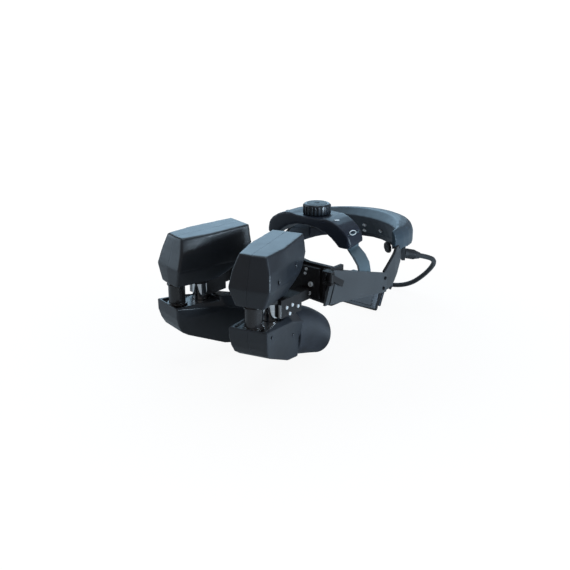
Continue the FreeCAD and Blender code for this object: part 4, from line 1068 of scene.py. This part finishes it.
@dataclass
class StitchRow:
    """A closed row of stitches on the face of a cushion."""

    name: str
    cushion: bpy.types.Object
    body: str
    corners: Sequence[Sequence[float]]
    aim: Sequence[float] = (0.0, 1.0, 0.0)
    step: float = 2.0

    def outline(self) -> list[Vector]:
        """Points of the row laid on the cushion's face, a little proud of the cloth."""
        aim = Vector(self.aim).normalized()
        found = []
        loop = [Vector((x, 0.0, z)) for x, z in self.corners]
        for now, after in zip(loop, loop[1:]):
            count = max(1, round((after - now).length / self.step))
            for i in range(count + 1):
                start = now.lerp(after, i / count) * MM - aim * 0.4
                hit, place, normal, _ = self.cushion.ray_cast(start, aim)
                if hit:
                    found.append(place + normal * (0.1 * MM))
        return found

    def build(self) -> None:
        """Lay the stitches."""
        points = self.outline()
        mesh = bpy.data.meshes.new(self.name)
        mesh.from_pydata(points, [(i, i + 1) for i in range(len(points) - 1)], [])
        item = stitch_tree(paint("thread")).run(
            self.name, mesh, {"Pitch": 0.0040, "Length": 0.0026, "Thickness": 0.0003})
        trim(item, "thread", self.body)
        log.info("stitches %s, %d points", self.name, len(points))


# ---------------- cable


@dataclass
class Lead:
    """The cable with its strain relief, put-away coil and plug."""

    radius: float = 3.0
    start: Vector = Vector((60.5, 101.4, 82.7))
    aim: Vector = Vector((0.3, 0.91, -0.28)).normalized()
    boot: float = 26.0
    coil_centre: Vector = Vector((-54.0, 148.0, 0.0))
    coil_radius: float = 30.0
    turns: int = 6

    def route(self) -> list[Vector]:
        """Control points from the strain relief to the coil, then round its turns."""
        end = self.start + self.aim * self.boot
        points = [end, end + self.aim * 18.5]
        points += [Vector(place) for place in (
            (71.5, 160.0, 60.5), (60.0, 174.0, 46.5), (44.0, 182.5, 30.0),
            (24.0, 187.5, 13.5), (0.0, 190.0, 4.2), (-28.0, 189.0, 3.1))]
        points += self.coil()
        return [place + Vector((0.0, SHIFT_Y, 0.0)) for place in points]

    def coil(self) -> list[Vector]:
        """Turns laid three beside each other and two high."""
        lanes = [(2, 0), (1, 0), (0, 0), (0, 1), (1, 1), (2, 1)]
        per_turn = 16
        points = []
        for i in range(self.turns * per_turn):
            turn = i // per_turn
            now, after = lanes[turn], lanes[min(turn + 1, self.turns - 1)]
            part = max(0.0, (i % per_turn) / per_turn * 4 - 3)
            lane = now[0] + (after[0] - now[0]) * part
            layer = now[1] + (after[1] - now[1]) * part
            radius = self.coil_radius + (lane - 1) * self.radius * 1.96
            angle = math.radians(88) + math.tau * i / per_turn
            points.append(self.coil_centre + Vector((
                radius * math.cos(angle), radius * math.sin(angle),
                self.radius * 1.02 + layer * self.radius * 1.96)))
        return points

    def build(self) -> None:
        """Make the cable and dress its fittings."""
        line = Spline("free_cable", self.route(), 5)
        path = [vertex.co.copy() for vertex in line.mesh().vertices]
        cable = line.rod(self.radius, 3)
        dress(cable, paint(Slot.CABLE))
        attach(cable, "headband")
        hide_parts("cable", "cable_coil")
        eased("cable_gland", Slot.CABLE, 0.3)
        eased("cable_plug", Slot.CABLE, 0.4)
        ribs = self.boot_ribs()

    def boot_ribs(self) -> bpy.types.Object:
        """Grip rings along the strain relief."""
        ring = lathe([(4.9, -0.5), (5.9, -0.35), (5.9, 0.35), (4.9, 0.5), (4.9, -0.5)],
                     "boot_ring", 40)
        item = line_tree(paint(Slot.CABLE)).run(
            "cable_gland_rings", ring,
            {"Count": 6, "Start": 0.006, "Pitch": 0.0022})
        turn = Vector((0, 0, 1)).rotation_difference(self.aim).to_matrix().to_4x4()
        place = (self.start + Vector((0.0, SHIFT_Y, 0.0))) * MM
        item.data.transform(Matrix.Translation(place) @ turn)
        trim(item, Slot.CABLE, "headband")
        return item


# ---------------- stage


def look(item: bpy.types.Object, place: Vector, target: Vector) -> None:
    """Put a lamp or camera at a place and aim it at a target, in metres."""
    item.location = place
    item.rotation_euler = (target - place).to_track_quat("-Z", "Y").to_euler()


@dataclass
class Stage:
    """Pale floor, soft light and the camera."""

    eye: Sequence[float] = (539.4, -698.0, 365.7)
    target: Sequence[float] = (0.0, -42.0, 68.0)
    lens: float = 51.916
    surroundings: float = 0.17
    floor_glow: float = 0.84
    fade: Sequence[float] = (0.18, 0.9)  # metres from the middle where the floor turns white
    white: float = 1.12

    def build(self) -> None:
        """Set the whole stage."""
        self.floor()
        self.world()
        self.lamps()
        self.camera()
        bpy.context.scene.view_settings.view_transform = "Standard"
        log.info("stage done")

    def floor(self) -> None:
        """Broad pale floor that keeps a soft shadow and runs out to white."""
        mesh = bpy.data.meshes.new("floor")
        mesh.from_pydata([(-40, -40, 0), (40, -40, 0), (40, 40, 0), (-40, 40, 0)], [],
                         [(0, 1, 2, 3)])
        item = link("floor", mesh)
        shader = Shader("pale_floor")
        shader.feed(shader.ramp(shader.noise(2.0), (0.66, 0.66, 0.66), (0.68, 0.68, 0.68)),
                    shader.bsdf.inputs["Base Color"])
        shader.put(Roughness=0.9)
        glow = shader.node("ShaderNodeEmission")
        glow.inputs["Color"].default_value = (1.0, 1.0, 1.0, 1.0)
        glow.inputs["Strength"].default_value = 1.1
        away = shader.node("ShaderNodeVectorMath", operation="LENGTH")
        shader.feed(shader.place, away.inputs[0])
        share = shader.span(away.outputs["Value"], self.floor_glow, 1.0, *self.fade)
        seen = shader.node("ShaderNodeLightPath").outputs["Is Camera Ray"]
        mix = shader.node("ShaderNodeMixShader")
        shader.feed(shader.math("MULTIPLY", seen, share), mix.inputs[0])
        shader.feed(shader.bsdf.outputs["BSDF"], mix.inputs[1])
        shader.feed(glow.outputs["Emission"], mix.inputs[2])
        shader.feed(mix.outputs["Shader"],
                    shader.tree.nodes["Material Output"].inputs["Surface"])
        item.data.materials.append(shader.material)

    def world(self) -> None:
        """Dim even surroundings that the camera sees as white."""
        world = bpy.data.worlds.new("surroundings")
        bpy.context.scene.world = world
        world.use_nodes = True
        nodes = Nodes(world.node_tree)
        back = nodes.tree.nodes["Background"]
        back.inputs["Color"].default_value = (1.0, 0.94, 0.92, 1.0)
        rays = nodes.node("ShaderNodeLightPath").outputs
        most = nodes.math("MAXIMUM", rays["Is Camera Ray"], rays["Is Transmission Ray"])
        nodes.feed(nodes.span(most, self.surroundings, self.white), back.inputs["Strength"])

    def lamp(self, name: str, place: Sequence[float], size: float, power: float,
             colour: Colour) -> None:
        """One square soft lamp aimed at the middle of the visor.

        Args:
            name: name of the lamp.
            place: position in millimetres.
            size: side in metres.
            power: watts.
            colour: colour of the light.
        """
        data = bpy.data.lights.new(name, "AREA")
        data.energy = power
        data.size = size
        data.color = colour
        item = link(name, data)
        look(item, Vector(place) * MM, Vector((0.0, -0.02, 0.07)))
        item.visible_camera = False

    def lamps(self) -> None:
        """A broad back light that grazes the tops, low side lights and a weak top light."""
        self.lamp("back_light", (-950.0, 1150.0, 850.0), 1.3, 10.5, (0.48, 0.76, 1.0))
        self.lamp("side_light", (1300.0, 100.0, 190.0), 0.4, 13.0, (0.66, 0.84, 1.0))
        self.lamp("left_light", (-1150.0, -450.0, 450.0), 0.7, 3.0, (0.62, 0.82, 1.0))
        self.lamp("top_light", (0.0, 0.0, 1200.0), 0.8, 3.5, (0.74, 0.90, 1.0))

    def camera(self) -> None:
        """Camera at the three-quarter view from the front left."""
        data = bpy.data.cameras.new("view")
        data.lens = self.lens
        data.sensor_width = 36.0
        item = link("view", data)
        lift = Vector((0.0, SHIFT_Y, 0.0))
        look(item, (Vector(self.eye) + lift) * MM, (Vector(self.target) + lift) * MM)
        bpy.context.scene.camera = item


def cushions() -> None:
    """Every padded piece and its stitching."""
    brow = Cushion("brow_pad", Slot.PAD, 2.4, 1.4).build()
    StitchRow("brow_stitches", brow, "front_frame",
              [(-58, 68), (58, 68), (58, 96), (-58, 96), (-58, 68)],
              aim=(0.0, -1.0, 0.0)).build()
    # The nape pad's front face is lighter, partly as painted light.
    nape = Cushion("nape_pad", Slot.PAD, 1.8, 1.4, face_cloth_with_painted_light=Slot.NAPE,
                   facing=(0.0, -0.9, 0.43)).build()
    StitchRow("nape_stitches", nape, "headband",
              [(-21, 7), (21, 7), (21, 30), (-21, 30), (-21, 7)]).build()
    Cushion("occipital_pad", Slot.PAD, 1.0, 0.8).build()


def main() -> None:
    """Build every sub-assembly in order."""
    logging.basicConfig(level=logging.INFO, format="%(name)s: %(message)s")
    Stage().build()
    Lead().build()
    for word, side in SIDES:
        Pod(word, side).build()
    front_frame()
    Headband().build()
    Crown().build()
    TopKnob().build()
    rear_hood()
    cushions()


if __name__ == "__main__":
    main()
